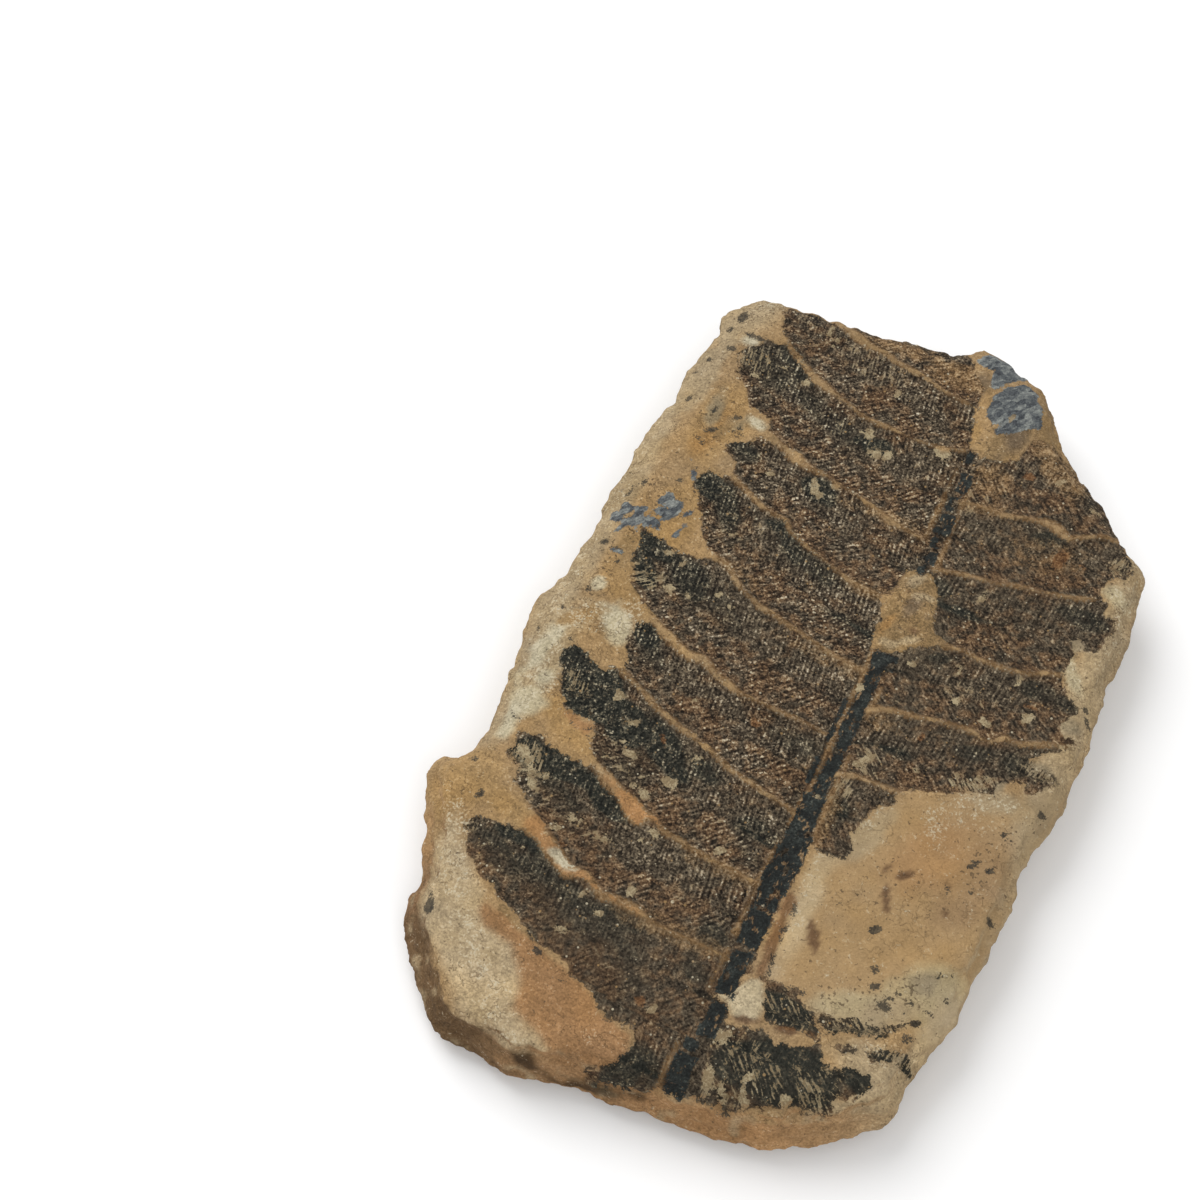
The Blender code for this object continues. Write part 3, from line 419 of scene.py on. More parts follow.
# Where white specks lie in the bare stone: amount, then the ellipse and softness as above
WHITE_PATCHES = [
    (0.7, -29, 59.3, 2.4, 1.6, 20, 1.6), (0.9, -29, 51.4, 1.4, 0.9, 0, 1),
    (1, -22.8, 38.3, 1.6, 0.9, -20, 0.9), (0.9, -25.5, -1.2, 1.6, 3, 0, 1.2),
    (0.8, -28.5, -2.6, 2.4, 2, -20, 1.5), (0.6, -32, -4, 3, 2, 60, 1.5),
    (0.7, -33.5, -12, 6, 1.6, 82, 1.5), (0.7, -32.5, -19, 5, 1.8, 80, 1.5),
    (0.6, -30.6, -15, 2, 1, 60, 1), (0.7, -33, -40, 4, 2, -58, 1.5),
    (1.1, -17.6, -39.1, 1.5, 0.8, -10, 0.5), (0.8, -8, -40.7, 1.2, 0.5, -20, 0.5),
    (0.5, 36.5, 32, 2, 1.4, -40, 1.2), (0.6, 35.2, 17.2, 3, 1.1, -52, 1),
    (0.7, 32, -5.8, 4, 1.2, 12, 1.2), (0.6, 25.6, -12.4, 3.5, 1.2, -50, 1.5),
    (0.5, 17.5, -16, 4, 1, 75, 1), (0.5, 30, -9, 5, 2, 10, 2), (0.4, 32, -45.5, 5, 1.6, 10, 1.5),
    (0.45, -36, 10, 30, 1.4, 90, 1.2), (0.6, -21, -19.8, 1.2, 0.6, 0, 0.6),
    (0.5, 38.5, 30, 12, 1.2, 90, 1.2), (0.6, -30.5, -46, 6, 2.5, -50, 2),
    (0.6, -24, -54, 6, 2.5, -48, 2), (0.6, -17, -60.5, 5, 2.4, -40, 2),
    (0.7, -11, -64, 4, 1.2, -20, 1), (0.4, 14, -30, 1.2, 10, 0, 1),
]
# Where dark specks lie thicker in the bare stone, in the same way
DIRTY_PATCHES = [
    (0.8, 34, -15, 5, 2.2, 75, 2), (0.5, 36, -8, 4, 2, 60, 2), (0.8, 28, -38, 8, 2.4, 30, 2),
    (1, 26.5, -43.4, 5, 1, 20, 1), (0.9, 32, -45.5, 4, 0.8, 0, 0.8),
    (0.9, 36.6, 0.3, 2.2, 1.8, 0, 1), (0.8, 35.6, 35.6, 2, 2.2, 0, 1),
    (0.5, -32, 46, 12, 2.5, 85, 2), (0.6, -27, 36, 5, 3.5, 80, 2), (0.7, -30.5, 17, 6, 4, 80, 2),
    (0.6, -32.5, 5, 8, 2.5, 100, 2), (0.4, -31, -12, 12, 3, 80, 2), (0.5, -28.6, 58, 4, 3, 40, 2),
    (0.7, 11.6, 16.8, 5, 3, 90, 1.5), (0.4, 36, 18, 16, 3, 90, 2), (0.4, 25, -25, 7, 6, 0, 3),
    (0.6, 12, 50, 5, 3, 60, 2),
]
# How far the stone's tints drift in lightness, and in red, green and blue, from place to place
TINT_DRIFT = 0.20
WARMTH = (0.045, 0.0, -0.11)
# The white crust along the lower left, and the smooth orange scar beside it
WHITE_BAND = [
    (-34, -38), (-31.5, -41.5), (-29.5, -44), (-25, -47.3), (-24.6, -49.6), (-23.4, -51.6),
    (-19, -52.6), (-16.4, -55.2), (-15.4, -57.5), (-15, -60), (-11.5, -61.5), (-7.5, -63.6),
    (-4.5, -64.6), (-11, -65.6), (-16, -66), (-20, -64), (-23.5, -60.5), (-26.5, -57.5),
    (-29, -55.6), (-32, -54.6), (-33.5, -50), (-33, -47), (-35, -44),
]
ORANGE_SCAR = [
    (-24.5, -48.2), (-17, -50.8), (-10.5, -52.6), (-6, -54.2), (-4, -56), (1, -57), (1.6, -59.6),
    (0.4, -61.8), (-1.8, -64), (-4.5, -64.6), (-10, -61.6), (-14.6, -60), (-15.4, -57),
    (-18.8, -52.4), (-23.5, -51.2), (-25.5, -49.6),
]
# Tints of the broken sides, by bearing from the slab's middle in degrees: the sides' own colours,
# with painted light that lightens the right-hand sides near bearing 0 against their shade
SIDE_TINTS_AND_LIGHT = [
    (-180, (176, 154, 120)), (-146, (176, 148, 108)), (-132, (166, 132, 92)),
    (-125, (134, 104, 74)), (-119, SIDE_BROWN), (-106, SIDE_BROWN), (-98, (150, 117, 82)),
    (-72, SIDE_ORANGE), (-62, (172, 138, 98)), (-54, (176, 152, 116)), (0, (172, 150, 116)),
    (40, (160, 140, 108)), (60, (120, 100, 74)), (90, (108, 90, 68)), (125, (150, 130, 98)),
    (180, (176, 154, 120)),
]
UNDERSIDE_TINT = (140, 114, 82)

# How black the film is, over its brown: amount, x, y, half length, half width, tilt, softness
BLACK_PATCHES = [
    (0.6, 5, -40.2, 2.4, 1.8, 0, 1.2), (0.5, 5.2, -27.6, 2.6, 1.5, -30, 1.2),
    (0.4, 5.2, -45.6, 2, 1.4, 0, 1.2), (0.7, 1.5, -61.5, 4, 1.8, 35, 1.2),
    (0.45, -24, 48.5, 5, 4, 0, 3), (0.6, -21, 51, 5, 1.6, -35, 1.5),
    (0.45, -12.5, 43.5, 8, 1.8, -20, 2), (0.7, -4.5, 41.8, 3, 1.6, 0, 1),
    (0.6, -22, 32.5, 3, 2, -20, 1.5), (0.7, -9, 30.8, 3, 2, -20, 1.2),
    (0.9, -23.8, 24.6, 2.6, 1.8, -50, 1.2), (0.6, -20, 22, 4, 2, -60, 1.5),
    (0.7, -12, 22.4, 2.2, 1, 0, 1), (0.6, -9, 20, 4, 1.5, -40, 1.5),
    (0.5, -4, 18, 5, 1.5, -20, 1.5), (0.5, 3, 11.5, 5, 1, -10, 1.2),
    (1, -27, 11.3, 3, 1.6, -20, 1), (0.9, -26.5, 7, 3, 1.6, -50, 1.2),
    (0.6, -20, 8.5, 4, 2.5, -40, 2), (0.4, -14, 6, 5, 2, -40, 2),
    (0.9, -22, -2.6, 2.2, 1.6, -30, 1.2), (0.5, -20, -5.5, 3, 2, -40, 2),
    (0.4, 4, -9, 5, 1.5, 0, 2), (1, -28, -10.8, 4, 2.2, -22, 1), (1, -24.5, -14, 5, 4.2, -40, 1.2),
    (0.9, -19, -16.5, 4, 3, -40, 1.5), (0.7, -12, -18, 6, 2.2, -35, 1.5),
    (0.6, -6, -18.5, 3, 1.5, -20, 1.5), (0.5, -16, -22, 5, 3, -20, 2),
    (0.8, -24, -26.4, 6, 1.7, -10, 1.2), (0.9, -16, -28.5, 4, 1.7, -28, 1),
    (0.5, -22, -30.5, 6, 2, -35, 2), (0.5, 4, -24, 3.5, 2, 0, 1.5),
    (0.8, -24, -38.4, 5, 1.1, 0, 1), (0.5, -16, -42.5, 7, 1.6, -16, 1.2),
    (0.5, -8, -43.3, 5, 1.4, 0, 1.2), (0.38, -12, -47, 16, 3.5, -25, 3),
    (0.5, -26, -41.5, 5, 2, -30, 2), (0.4, -6, -48, 8, 3, -30, 2.5),
    (0.5, 3.5, -60.5, 3, 3, 0, 1.5), (0.55, 20, -51.5, 5, 1.6, -10, 1.2),
    (0.5, 23, -54.5, 4, 1.6, 10, 1.2), (0.4, 15, -56.5, 3.5, 1.2, -10, 1),
    (0.8, 30, -50, 3, 1.6, 0, 1), (0.6, 33.4, -39.8, 2.4, 1.4, 30, 1),
    (0.5, 34, 26.5, 4, 1.6, 0, 1.5), (0.6, 24.5, 37, 3, 1.2, 10, 1.2),
    (0.5, 13.5, 22.5, 2, 1.5, 0, 1), (0.7, 17.5, 20, 4, 0.8, 0, 0.8),
    (0.5, 36, 12.5, 2.5, 1.2, -10, 1.2), (0.5, 32, 12.8, 3, 1.6, 10, 1.2),
    (0.5, 17.5, 11.8, 2, 0.8, 30, 0.8), (0.5, 33, 0.8, 3, 1.8, 10, 1.5),
    (0.5, 27, 0, 4, 1.2, 15, 1.2), (0.6, 17.5, -4.5, 3, 0.8, 0, 0.8), (0.6, 13, -17, 2, 3, 0, 1.5),
    (0.4, 28, 46.5, 3.5, 1.5, -40, 1.5), (0.4, 9.3, -10, 3, 2, 90, 1),
    (0.6, 27, -43.6, 6, 2, 20, 1), (0.6, 33.5, -45.3, 4, 1.5, 0, 1),
    (0.8, -29, -26.5, 2.5, 2, 0, 1), (0.8, 17, -45.5, 4.5, 2, 0, 1),
    (0.75, 20, -53.5, 9, 4, 15, 1.5), (0.6, 34.8, -32, 3, 1.2, 35, 1),
]
# Where the film is thin and brown over the sand: amount, then the ellipse and softness as above
SANDY_PATCHES = [
    (0.6, 22, 50, 6, 3, -40, 2), (0.6, 3, 59, 5, 2.5, 0, 2), (0.5, 13.5, 43, 3, 3, 0, 2),
    (0.5, -6, 60.5, 8, 1.5, 0, 1.5), (0.4, 4, 5, 5, 1.2, 0, 1.2), (0.4, 0, -42, 8, 1.5, 0, 1.2),
    (0.4, 3, -31, 6, 1.2, 0, 1.2), (0.4, 5, 17.5, 5, 1.2, 0, 1.2), (0.4, 2, 30.4, 6, 1.2, 0, 1.2),
    (0.4, 14, 38, 4, 1.2, 0, 1.2), (0.4, 13.5, -1, 3, 1.5, 0, 1.2), (0.5, 12.4, -18, 1, 5, 0, 1),
    (0.3, 25, 34, 6, 3, 10, 2), (0.3, -14, 12.5, 5, 1.2, -20, 1.2),
]
# Where pale sand shows through the film: amount, then the ellipse and softness as above
WORN_PATCHES = [
    (0.45, -27, 48, 3.5, 3, 0, 1.5), (0.3, -22, 57, 4, 3, 0, 2), (0.35, -10, 55, 8, 3, -15, 3),
    (0.25, -8, 41, 8, 3, -10, 2.5), (0.25, -18, 20, 6, 4, -30, 2.5),
    (0.5, -27, 6.5, 2.4, 2, 0, 1.2), (0.35, -23.5, -1.5, 2, 2, 0, 1.2),
    (0.45, -27.5, -14, 3, 1.6, -40, 1.2), (0.35, -17, -21.5, 5, 2, -20, 1.5),
    (0.55, -28.5, -27.5, 3, 2.5, -40, 1.2), (0.3, -24, -31.5, 5, 2, -35, 1.5),
    (0.3, -16, -34, 6, 2, -20, 2), (0.3, -28, -42, 3.5, 2, -30, 1.5), (0.25, 0, -26, 6, 3, 0, 2),
    (0.25, 1, -37, 6, 3, 0, 2), (0.4, 15, -58.6, 4.5, 1.6, 10, 1), (0.3, 12.2, -54, 1.6, 4, 0, 1),
    (0.55, 29, -4.4, 3.5, 1.6, 12, 1), (0.5, 36.2, 0.8, 2.6, 1.6, 0, 1),
    (0.3, 24, 8, 6, 2, 0, 1.5), (0.5, 35.5, 37, 1.8, 1.8, 0, 1),
    (0.45, 14.5, -7.8, 3, 2, -50, 1.2), (0.35, 12, 38.5, 3, 3, 0, 1.5),
    (0.5, 26.5, -50.5, 2, 1.5, 0, 1), (0.45, 12.6, -12.5, 1.5, 3, 0, 1.2),
    (0.5, -31, -39.5, 1.6, 1, 0, 0.8), (0.55, -24.5, 6.5, 2, 1.2, 20, 1),
    (0.4, 17, -54, 5, 3, -40, 1.5), (0.5, 25, -54, 4, 1.6, -40, 1.2),
    (0.5, 28, -44, 6, 2.5, 20, 1.5), (0.5, 34, -45, 4, 2, 0, 1.5),
    (0.55, 35, -32, 3.5, 1.5, 35, 1), (0.4, 17.5, -45.5, 5, 2.5, 0, 1.5),
]
# The patches of each value that the material reads, and its amount where none lies
PATCHES = {
    "black": (BLACK_PATCHES, 0.12), "worn": (WORN_PATCHES, 0.06), "sandy": (SANDY_PATCHES, 0.0),
    "white": (WHITE_PATCHES, 0.0), "dirty": (DIRTY_PATCHES, 0.1),
}

# Screen colours of each layer by its tone, from dark to light
BROWN_FILM = [
    (0.10, (26, 22, 17)), (0.30, (50, 43, 34)), (0.42, (68, 59, 48)), (0.52, (85, 75, 61)),
    (0.62, (102, 91, 74)), (0.74, (127, 113, 93)), (0.86, (172, 157, 132)), (0.98, (212, 203, 182)),
]
RUSTY_FILM = [
    (0.10, (32, 23, 16)), (0.30, (58, 44, 32)), (0.42, (80, 61, 44)), (0.52, (99, 76, 55)),
    (0.62, (116, 91, 66)), (0.74, (138, 112, 84)), (0.86, (174, 152, 120)), (0.98, (212, 198, 168)),
]
BLACK_FILM = [
    (0.10, (20, 21, 18)), (0.34, (37, 38, 33)), (0.50, (49, 49, 43)), (0.60, (62, 61, 52)),
    (0.70, (84, 80, 67)), (0.80, (118, 111, 92)), (0.90, (170, 160, 134)), (0.99, (206, 198, 174)),
]
COAL = [
    (0.18, (14, 16, 15)), (0.42, (30, 33, 31)), (0.58, (44, 48, 45)), (0.74, (72, 76, 70)),
    (0.92, (120, 118, 104)),
]
MINERAL = [
    (0.12, (34, 38, 43)), (0.36, (66, 71, 75)), (0.54, (101, 105, 104)), (0.72, (136, 139, 134)),
    (0.92, (174, 175, 166)),
]
STAIN = [(0.2, (94, 71, 47)), (0.5, (147, 116, 79)), (0.85, (190, 161, 121))]
RUST_MARK = [(0.2, (78, 52, 32)), (0.5, (124, 86, 54)), (0.85, (158, 120, 80))]
DARK_MARK = [(0.3, (42, 44, 44)), (0.8, (96, 86, 70))]

# Screen colours of single grains, specks and cracks; the bright grains are pale sand with painted
# glints
WHITE_SAND = (206, 195, 168)
PALE_GRAIN_AND_GLINT = (206, 194, 166)
TAN_GRAIN = (168, 136, 92)
LIGHT_CHIP = (190, 173, 138)
DULL_CHIP = (142, 124, 94)
DARK_SPECK = (84, 70, 54)
CRACK_BROWN = (104, 82, 56)

# The edge of a mark runs from the first of these distances to the second
EDGE = (-0.08, 0.12)
# the film's bright grains are pale sand grains and painted glints
BRIGHT_PITCH = 0.85     # the spacing of the film's bright grains
MINERAL_TURN = -0.9     # the slant of the mineral's crystals, in radians
BUMP_HEIGHT = 0.18      # what the material's bump stands for


# ---- numbers over the surface ----

def smooth(t):
    """An eased step: 0 below 0, 1 above 1."""
    t = np.clip(t, 0.0, 1.0)
    return t * t * (3.0 - 2.0 * t)


def within(distance, width):
    """How far a point is past an edge: eased from 0 outside to 1 inside, over the given width."""
    return smooth(distance / width + 0.5)


def lattice(i, j, k, seed):
    """Repeatable random numbers from -1 to 1, one for each whole-number place."""
    n = i * 73856093 ^ j * 19349663 ^ k * 83492791 ^ seed * 40503973
    n = (n ^ (n >> 13)) * 1274126177
    n = (n ^ (n >> 16)) & 0xFFFF
    return n / 32767.5 - 1.0


def rough(points, span, seed):
    """Smooth noise between -1 and 1, with features about span across."""
    p = points / np.asarray(span, float)
    cell = np.floor(p).astype(np.int64)
    part = smooth(p - cell)
    total = np.zeros(len(points))
    for dx in (0, 1):
        for dy in (0, 1):
            for dz in (0, 1):
                weight = np.abs(1 - dx - part[:, 0]) * np.abs(1 - dy - part[:, 1])
                weight = weight * np.abs(1 - dz - part[:, 2])
                total += weight * lattice(cell[:, 0] + dx, cell[:, 1] + dy, cell[:, 2] + dz, seed)
    return total


def segment_field(p, a, b):
    """Distance from each plan point to the segment from a to b, and the share along it."""
    a = np.asarray(a, float)
    run = np.asarray(b, float) - a
    t = np.clip(((p - a) @ run) / max(run @ run, 1e-9), 0.0, 1.0)
    return np.linalg.norm(p - a - t[:, None] * run, axis=1), t


def loop_field(p, loop):
    """Distance from each plan point to a closed loop, positive inside it."""
    away = np.full(len(p), 1e9)
    inside = np.zeros(len(p), bool)
    for a, b in zip(loop, loop[1:] + loop[:1]):
        away = np.minimum(away, segment_field(p, a, b)[0])
        if a[1] != b[1]:
            crosses = (a[1] > p[:, 1]) != (b[1] > p[:, 1])
            x = a[0] + (p[:, 1] - a[1]) * (b[0] - a[0]) / (b[1] - a[1])
            inside ^= crosses & (p[:, 0] < x)
    return np.where(inside, away, -away)


def ridge_field(p, lines):
    """Distance from each plan point to the nearest band, less the band's half width there."""
    away = np.full(len(p), 1e9)
    for line in lines:
        for a, b in zip(line, line[1:]):
            distance, t = segment_field(p, a[:2], b[:2])
            away = np.minimum(away, distance - (a[2] + (b[2] - a[2]) * t))
    return away


def spot_field(p, x, y, length, width, tilt=0.0):
    """About the distance from each plan point to an ellipse, positive inside it."""
    turn = math.radians(tilt)
    u = (p[:, 0] - x) * math.cos(turn) + (p[:, 1] - y) * math.sin(turn)
    v = (p[:, 1] - y) * math.cos(turn) - (p[:, 0] - x) * math.sin(turn)
    return (1.0 - np.hypot(u / length, v / width)) * min(length, width)


def block_field(p, top, bottom, left, right):
    """Distance from each plan point to an upright block's edge, positive inside it."""
    return np.minimum(np.minimum(top - p[:, 1], p[:, 1] - bottom),
                      np.minimum(p[:, 0] - left, right - p[:, 0]))


def spots_field(p, spots):
    return np.max([spot_field(p, *spot) for spot in spots], axis=0)


def blocks_field(p, blocks):
    return np.max([block_field(p, *block) for block in blocks], axis=0)


def loops_field(p, loops):
    return np.max([loop_field(p, loop) for loop in loops], axis=0)


def patches(p, table, least, wobble):
    """The largest amount of the soft patches that lie over each plan point."""
    amounts = np.full(len(p), least)
    for amount, x, y, length, width, tilt, soft in table:
        inside = spot_field(p, x, y, length, width, tilt) + 0.7 * wobble
        amounts = np.maximum(amounts, amount * smooth(inside / soft + 0.6))
    return amounts


# ---- the frond ----

def seam_lines(out, side, seams):
    """The y of every seam at each distance out from the stalk, from the tip to the foot."""
    lines = []
    for seam in seams:
        x = [side * (point[0] - STALK_X) for point in seam]
        y = [point[1] for point in seam]
        slope = (y[-1] - y[0]) / (x[-1] - x[0])
        line = np.interp(out, x, y)
        lines.append(np.where(out > x[-1], y[-1] + slope * (out - x[-1]), line))
    more = [lines[-1] - LEAFLET_PITCH * count for count in range(1, LEAFLETS_BELOW + 1)]
    return [lines[0] + LEAFLET_PITCH] + lines + more


def vein_field(p):
    """The frond's own coordinates: across its veins, along them, and away from its midribs."""
    across = np.zeros(len(p))
    along = np.zeros(len(p))
    midrib = np.full(len(p), 9.0)
    for side, seams in ((-1.0, LEFT_SEAMS), (1.0, RIGHT_SEAMS)):
        out = side * (p[:, 0] - STALK_X)
        lines = seam_lines(out, side, seams)
        for upper, lower in zip(lines, lines[1:]):
            here = (out > 0) & (p[:, 1] <= upper) & (p[:, 1] > lower)
            off = p[:, 1] - lower - MIDRIB_PLACE * (upper - lower)
            lean = np.where(off > 0, UPPER_VEIN_LEAN, LOWER_VEIN_LEAN)
            across = np.where(here, (out - np.abs(off) * lean) / np.hypot(1.0, lean), across)
            along = np.where(here, off * np.hypot(1.0, lean), along)
            midrib = np.where(here, np.abs(off) + out / MIDRIB_FADE, midrib)
    return np.stack([across, along, midrib], axis=1)


def stalk_line(p):
    """Distance from the stalk's middle line, as a share of its half width."""
    share = np.clip((STALK_TOP - p[:, 1]) / (STALK_TOP - STALK_FOOT), 0.0, 1.0)
    half = STALK_HALF_WIDTH[0] + (STALK_HALF_WIDTH[1] - STALK_HALF_WIDTH[0]) * share
    return np.abs(p[:, 0] - STALK_X) / half


def film_fields(p, ragged):
    """Distances to the film, the seams and the stone beside them."""
    seam = ridge_field(p, LEFT_SEAMS + RIGHT_SEAMS)
    cover = loop_field(p, COVER_EDGE)
    cream = loop_field(p, CREAM_EDGE)
    edge = loops_field(p, [LEFT_EDGE + FOOT_EDGE + RIGHT_EDGE] + ISLAND_EDGES)
    return {
        "film": np.minimum.reduce([edge, seam + NARROW_SEAM, -cover, -cream]) + ragged,
        "seam": np.minimum(seam, ridge_field(p, STALK_LINES)),
        "cover": cover,
        "cream": cream,
        "bare": loop_field(p, BARE_EDGE),
    }


def mark_fields(p, ragged, wobble):
    """Distances to the coal, the crevice, the spots and the mineral."""
    coal = blocks_field(p, STALK_BLOCKS)
    shards = np.maximum(loops_field(p, MINERAL_EDGES), spots_field(p, MINERAL_SPOTS))
    return {
        "stalk": np.minimum(coal, -spots_field(p, STALK_CHIPS)) + 0.6 * ragged,
        "crevice": ridge_field(p, [CREVICE]) + 0.4 * wobble,
        "pale": spots_field(p, PALE_SPOTS) + 0.6 * ragged,
        "rust": spots_field(p, RUST_SPOTS) + ragged,
        "dark": spots_field(p, DARK_SPOTS) + ragged,
        "mineral": np.minimum(shards, -spots_field(p, MINERAL_GAPS)) + ragged,
    }


def turn_fields(points, normals):
    """Where the relief reaches (up), and the markings (face), which go further down at the foot."""
    foot = smooth((-50.0 - points[:, 1]) / 8.0)
    face = smooth((normals[:, 2] - 0.10 + 0.25 * foot) / 0.35)
    return {
        "up": smooth((normals[:, 2] - 0.35) / 0.4) * smooth((points[:, 2] - 5.0) / 3.0),
        "face": face * smooth((points[:, 2] - 5.8 + 2.6 * foot) / 1.5),
    }


def fields_of(points, normals, wobble):
    """Every number that the material and the relief read, for each vertex."""
    p = points[:, :2]
    ragged = 0.28 * rough(points, 1.3, 5) + 0.18 * rough(points, 0.7, 6)
    f = {**film_fields(p, ragged), **mark_fields(p, ragged, wobble), **turn_fields(points, normals)}
    for name, (table, least) in PATCHES.items():
        f[name] = patches(p, table, least, wobble)
    return f


def crispness(points):
    """How strong the film's texture is: it is softer on the right and towards the foot."""
    right = smooth((points[:, 0] - STALK_X) / 6.0)
    foot = smooth((-26.0 - points[:, 1]) / 20.0)
    return 1.12 - 0.26 * right - 0.40 * foot + 0.22 * rough(points, 7.0, 61)


# ---- the bare stone's tints ----

def srgb(colour):
    """A 0 to 255 screen colour as the linear paint that shows it under this studio's light."""
    c = np.asarray(colour, float) / 255.0
    return PAINT * np.where(c <= 0.04045, c / 12.92, ((c + 0.055) / 1.055) ** 2.4)


def lay(tints, weight, colour):
    """Mixes one colour over the tints."""
    return tints + (srgb(colour) - tints) * weight[:, None]


def face_tints(points, f, wobble):
    """The face's stone: its patches, the scar, the white band, and a drift from place to place."""
    p = points[:, :2]
    tints = np.tile(srgb(TAN), (len(p), 1))
    tints = lay(tints, within(f["bare"], 1.0), BARE_TAN)
    for colour, x, y, length, width, tilt, soft in STONE_PATCHES:
        inside = spot_field(p, x, y, length, width, tilt) + 1.1 * wobble
        tints = lay(tints, 0.9 * within(inside, soft), colour)
    tints = lay(tints, within(loop_field(p, ORANGE_SCAR) + 0.5 * wobble, 0.8), SCAR_TINT)
    tints = lay(tints, 0.9 * within(loop_field(p, WHITE_BAND) + 0.8 * wobble, 2.0), WHITISH)
    tints = lay(tints, within(f["cream"], 0.4), CREAM)
    tints = lay(tints, 0.9 * within(f["rust"], 0.4), RUST)
    drift = 0.5 * rough(points, 4.5, 51) + 0.5 * rough(points, 2.0, 52)
    warmth = 0.5 * rough(points, 6.0, 53) + 0.5 * rough(points, 2.6, 54)
    tints = tints * (1.0 + TINT_DRIFT * drift)[:, None]
    return tints * (1.0 + warmth[:, None] * np.array(WARMTH))


def side_tints(points, normals):
    """The stone of the broken sides and of the underside, with its beds and pale flecks, and painted
    light on the right-hand sides.
    """
    bearing = np.degrees(np.arctan2(points[:, 1], points[:, 0]))
    # the sides' own colours by bearing, with painted light lightening the right-hand sides
    places = [place for place, _ in SIDE_TINTS_AND_LIGHT]
    colours = srgb([colour for _, colour in SIDE_TINTS_AND_LIGHT])
    tints = np.stack([np.interp(bearing, places, colours[:, i]) for i in range(3)], axis=1)
    tints = lay(tints, smooth((-normals[:, 2] - 0.3) / 0.4), UNDERSIDE_TINT)
    beds = 1.0 + 0.14 * rough(points, 3.0, 55) + 0.12 * rough(points, (5.0, 5.0, 1.2), 56)
    tints = tints * beds[:, None]
    tints = tints * (1.0 + 0.12 * rough(points, 1.3, 58))[:, None]
    return lay(tints, 0.6 * smooth((rough(points, 1.6, 57) - 0.35) / 0.35), BEIGE)


def stone_tints(points, normals, f, wobble):
    """The bare stone's colour for each vertex, before its grain, with painted shade along the
    crevice.
    """
    tints = face_tints(points, f, wobble)
    low = 1.0 - smooth((points[:, 2] - 6.5 + 1.2 * wobble) / 2.4)
    steep = 1.0 - smooth((normals[:, 2] - 0.30) / 0.35)
    weight = np.maximum(low, steep)
    tints = tints + (side_tints(points, normals) - tints) * weight[:, None]
    # painted shade: the stone is darkened along the crevice, above CREVICE_FOOT
    shadow = 0.75 * smooth((0.5 - f["crevice"]) / 0.8) * (points[:, 2] > CREVICE_FOOT)
    return tints * (1.0 - shadow)[:, None]


def mottle_of(f):
    """How uneven the bare stone's grains are in colour: even where the frond flaked off."""
    return 1.0 - 0.65 * within(f["bare"], 1.0) + 0.5 * within(f["cover"], 0.6)


# ---- the slab's mesh ----

def remeshed(node):
    """A fine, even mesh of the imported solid, without its materials."""
    source = node.data.copy()
    holder = bpy.data.objects.new("slab_source", source)
    bpy.context.scene.collection.objects.link(holder)
    source.transform(node.matrix_world)
    remesh = holder.modifiers.new("remesh", "REMESH")
    remesh.mode = "VOXEL"
    remesh.voxel_size = VOXEL * MM
    evaluated = holder.evaluated_get(bpy.context.evaluated_depsgraph_get())
    mesh = bpy.data.meshes.new_from_object(evaluated)
    bpy.data.objects.remove(holder)
    mesh.materials.clear()
    mesh.name = "stone_slab"
    return mesh


def read_rows(items, name, width, kind=float):
    """One attribute of all vertices or edges, as rows of numbers."""
    flat = np.empty(len(items) * width, kind)
    items.foreach_get(name, flat)
    return flat.reshape(-1, width)


def write_points(mesh, points):
    mesh.vertices.foreach_set("co", (points * MM).ravel())
    mesh.update()


def read_normals(mesh):
    return read_rows(mesh.vertex_normals, "vector", 3)


def relaxed(points, edges, rounds, weight):
    """Moves each vertex towards its neighbours' mean, by its weight, a few times over."""
    count = np.bincount(edges.ravel(), minlength=len(points))[:, None]
    for _ in range(rounds):
        total = np.zeros_like(points)
        for axis in range(3):
            total[:, axis] = np.bincount(edges[:, 0], points[edges[:, 1], axis], len(points))
            total[:, axis] += np.bincount(edges[:, 1], points[edges[:, 0], axis], len(points))
        points = points + (total / count - points) * 0.5 * weight[:, None]
    return points


def evened(mesh):
    """The mesh's vertices with the voxels' steps rubbed out, most of all on the open face."""
    points = read_rows(mesh.vertices, "co", 3) / MM
    normals = read_normals(mesh)
    edges = read_rows(mesh.edges, "vertices", 2, np.int64)
    open_face = smooth((normals[:, 2] - 0.8) / 0.15) * smooth((points[:, 2] - 9.5) / 1.5)
    points = relaxed(points, edges, ROUNDS_ALL_OVER, np.full(len(points), 1.0))
    return relaxed(points, edges, ROUNDS_ON_FACE, open_face)


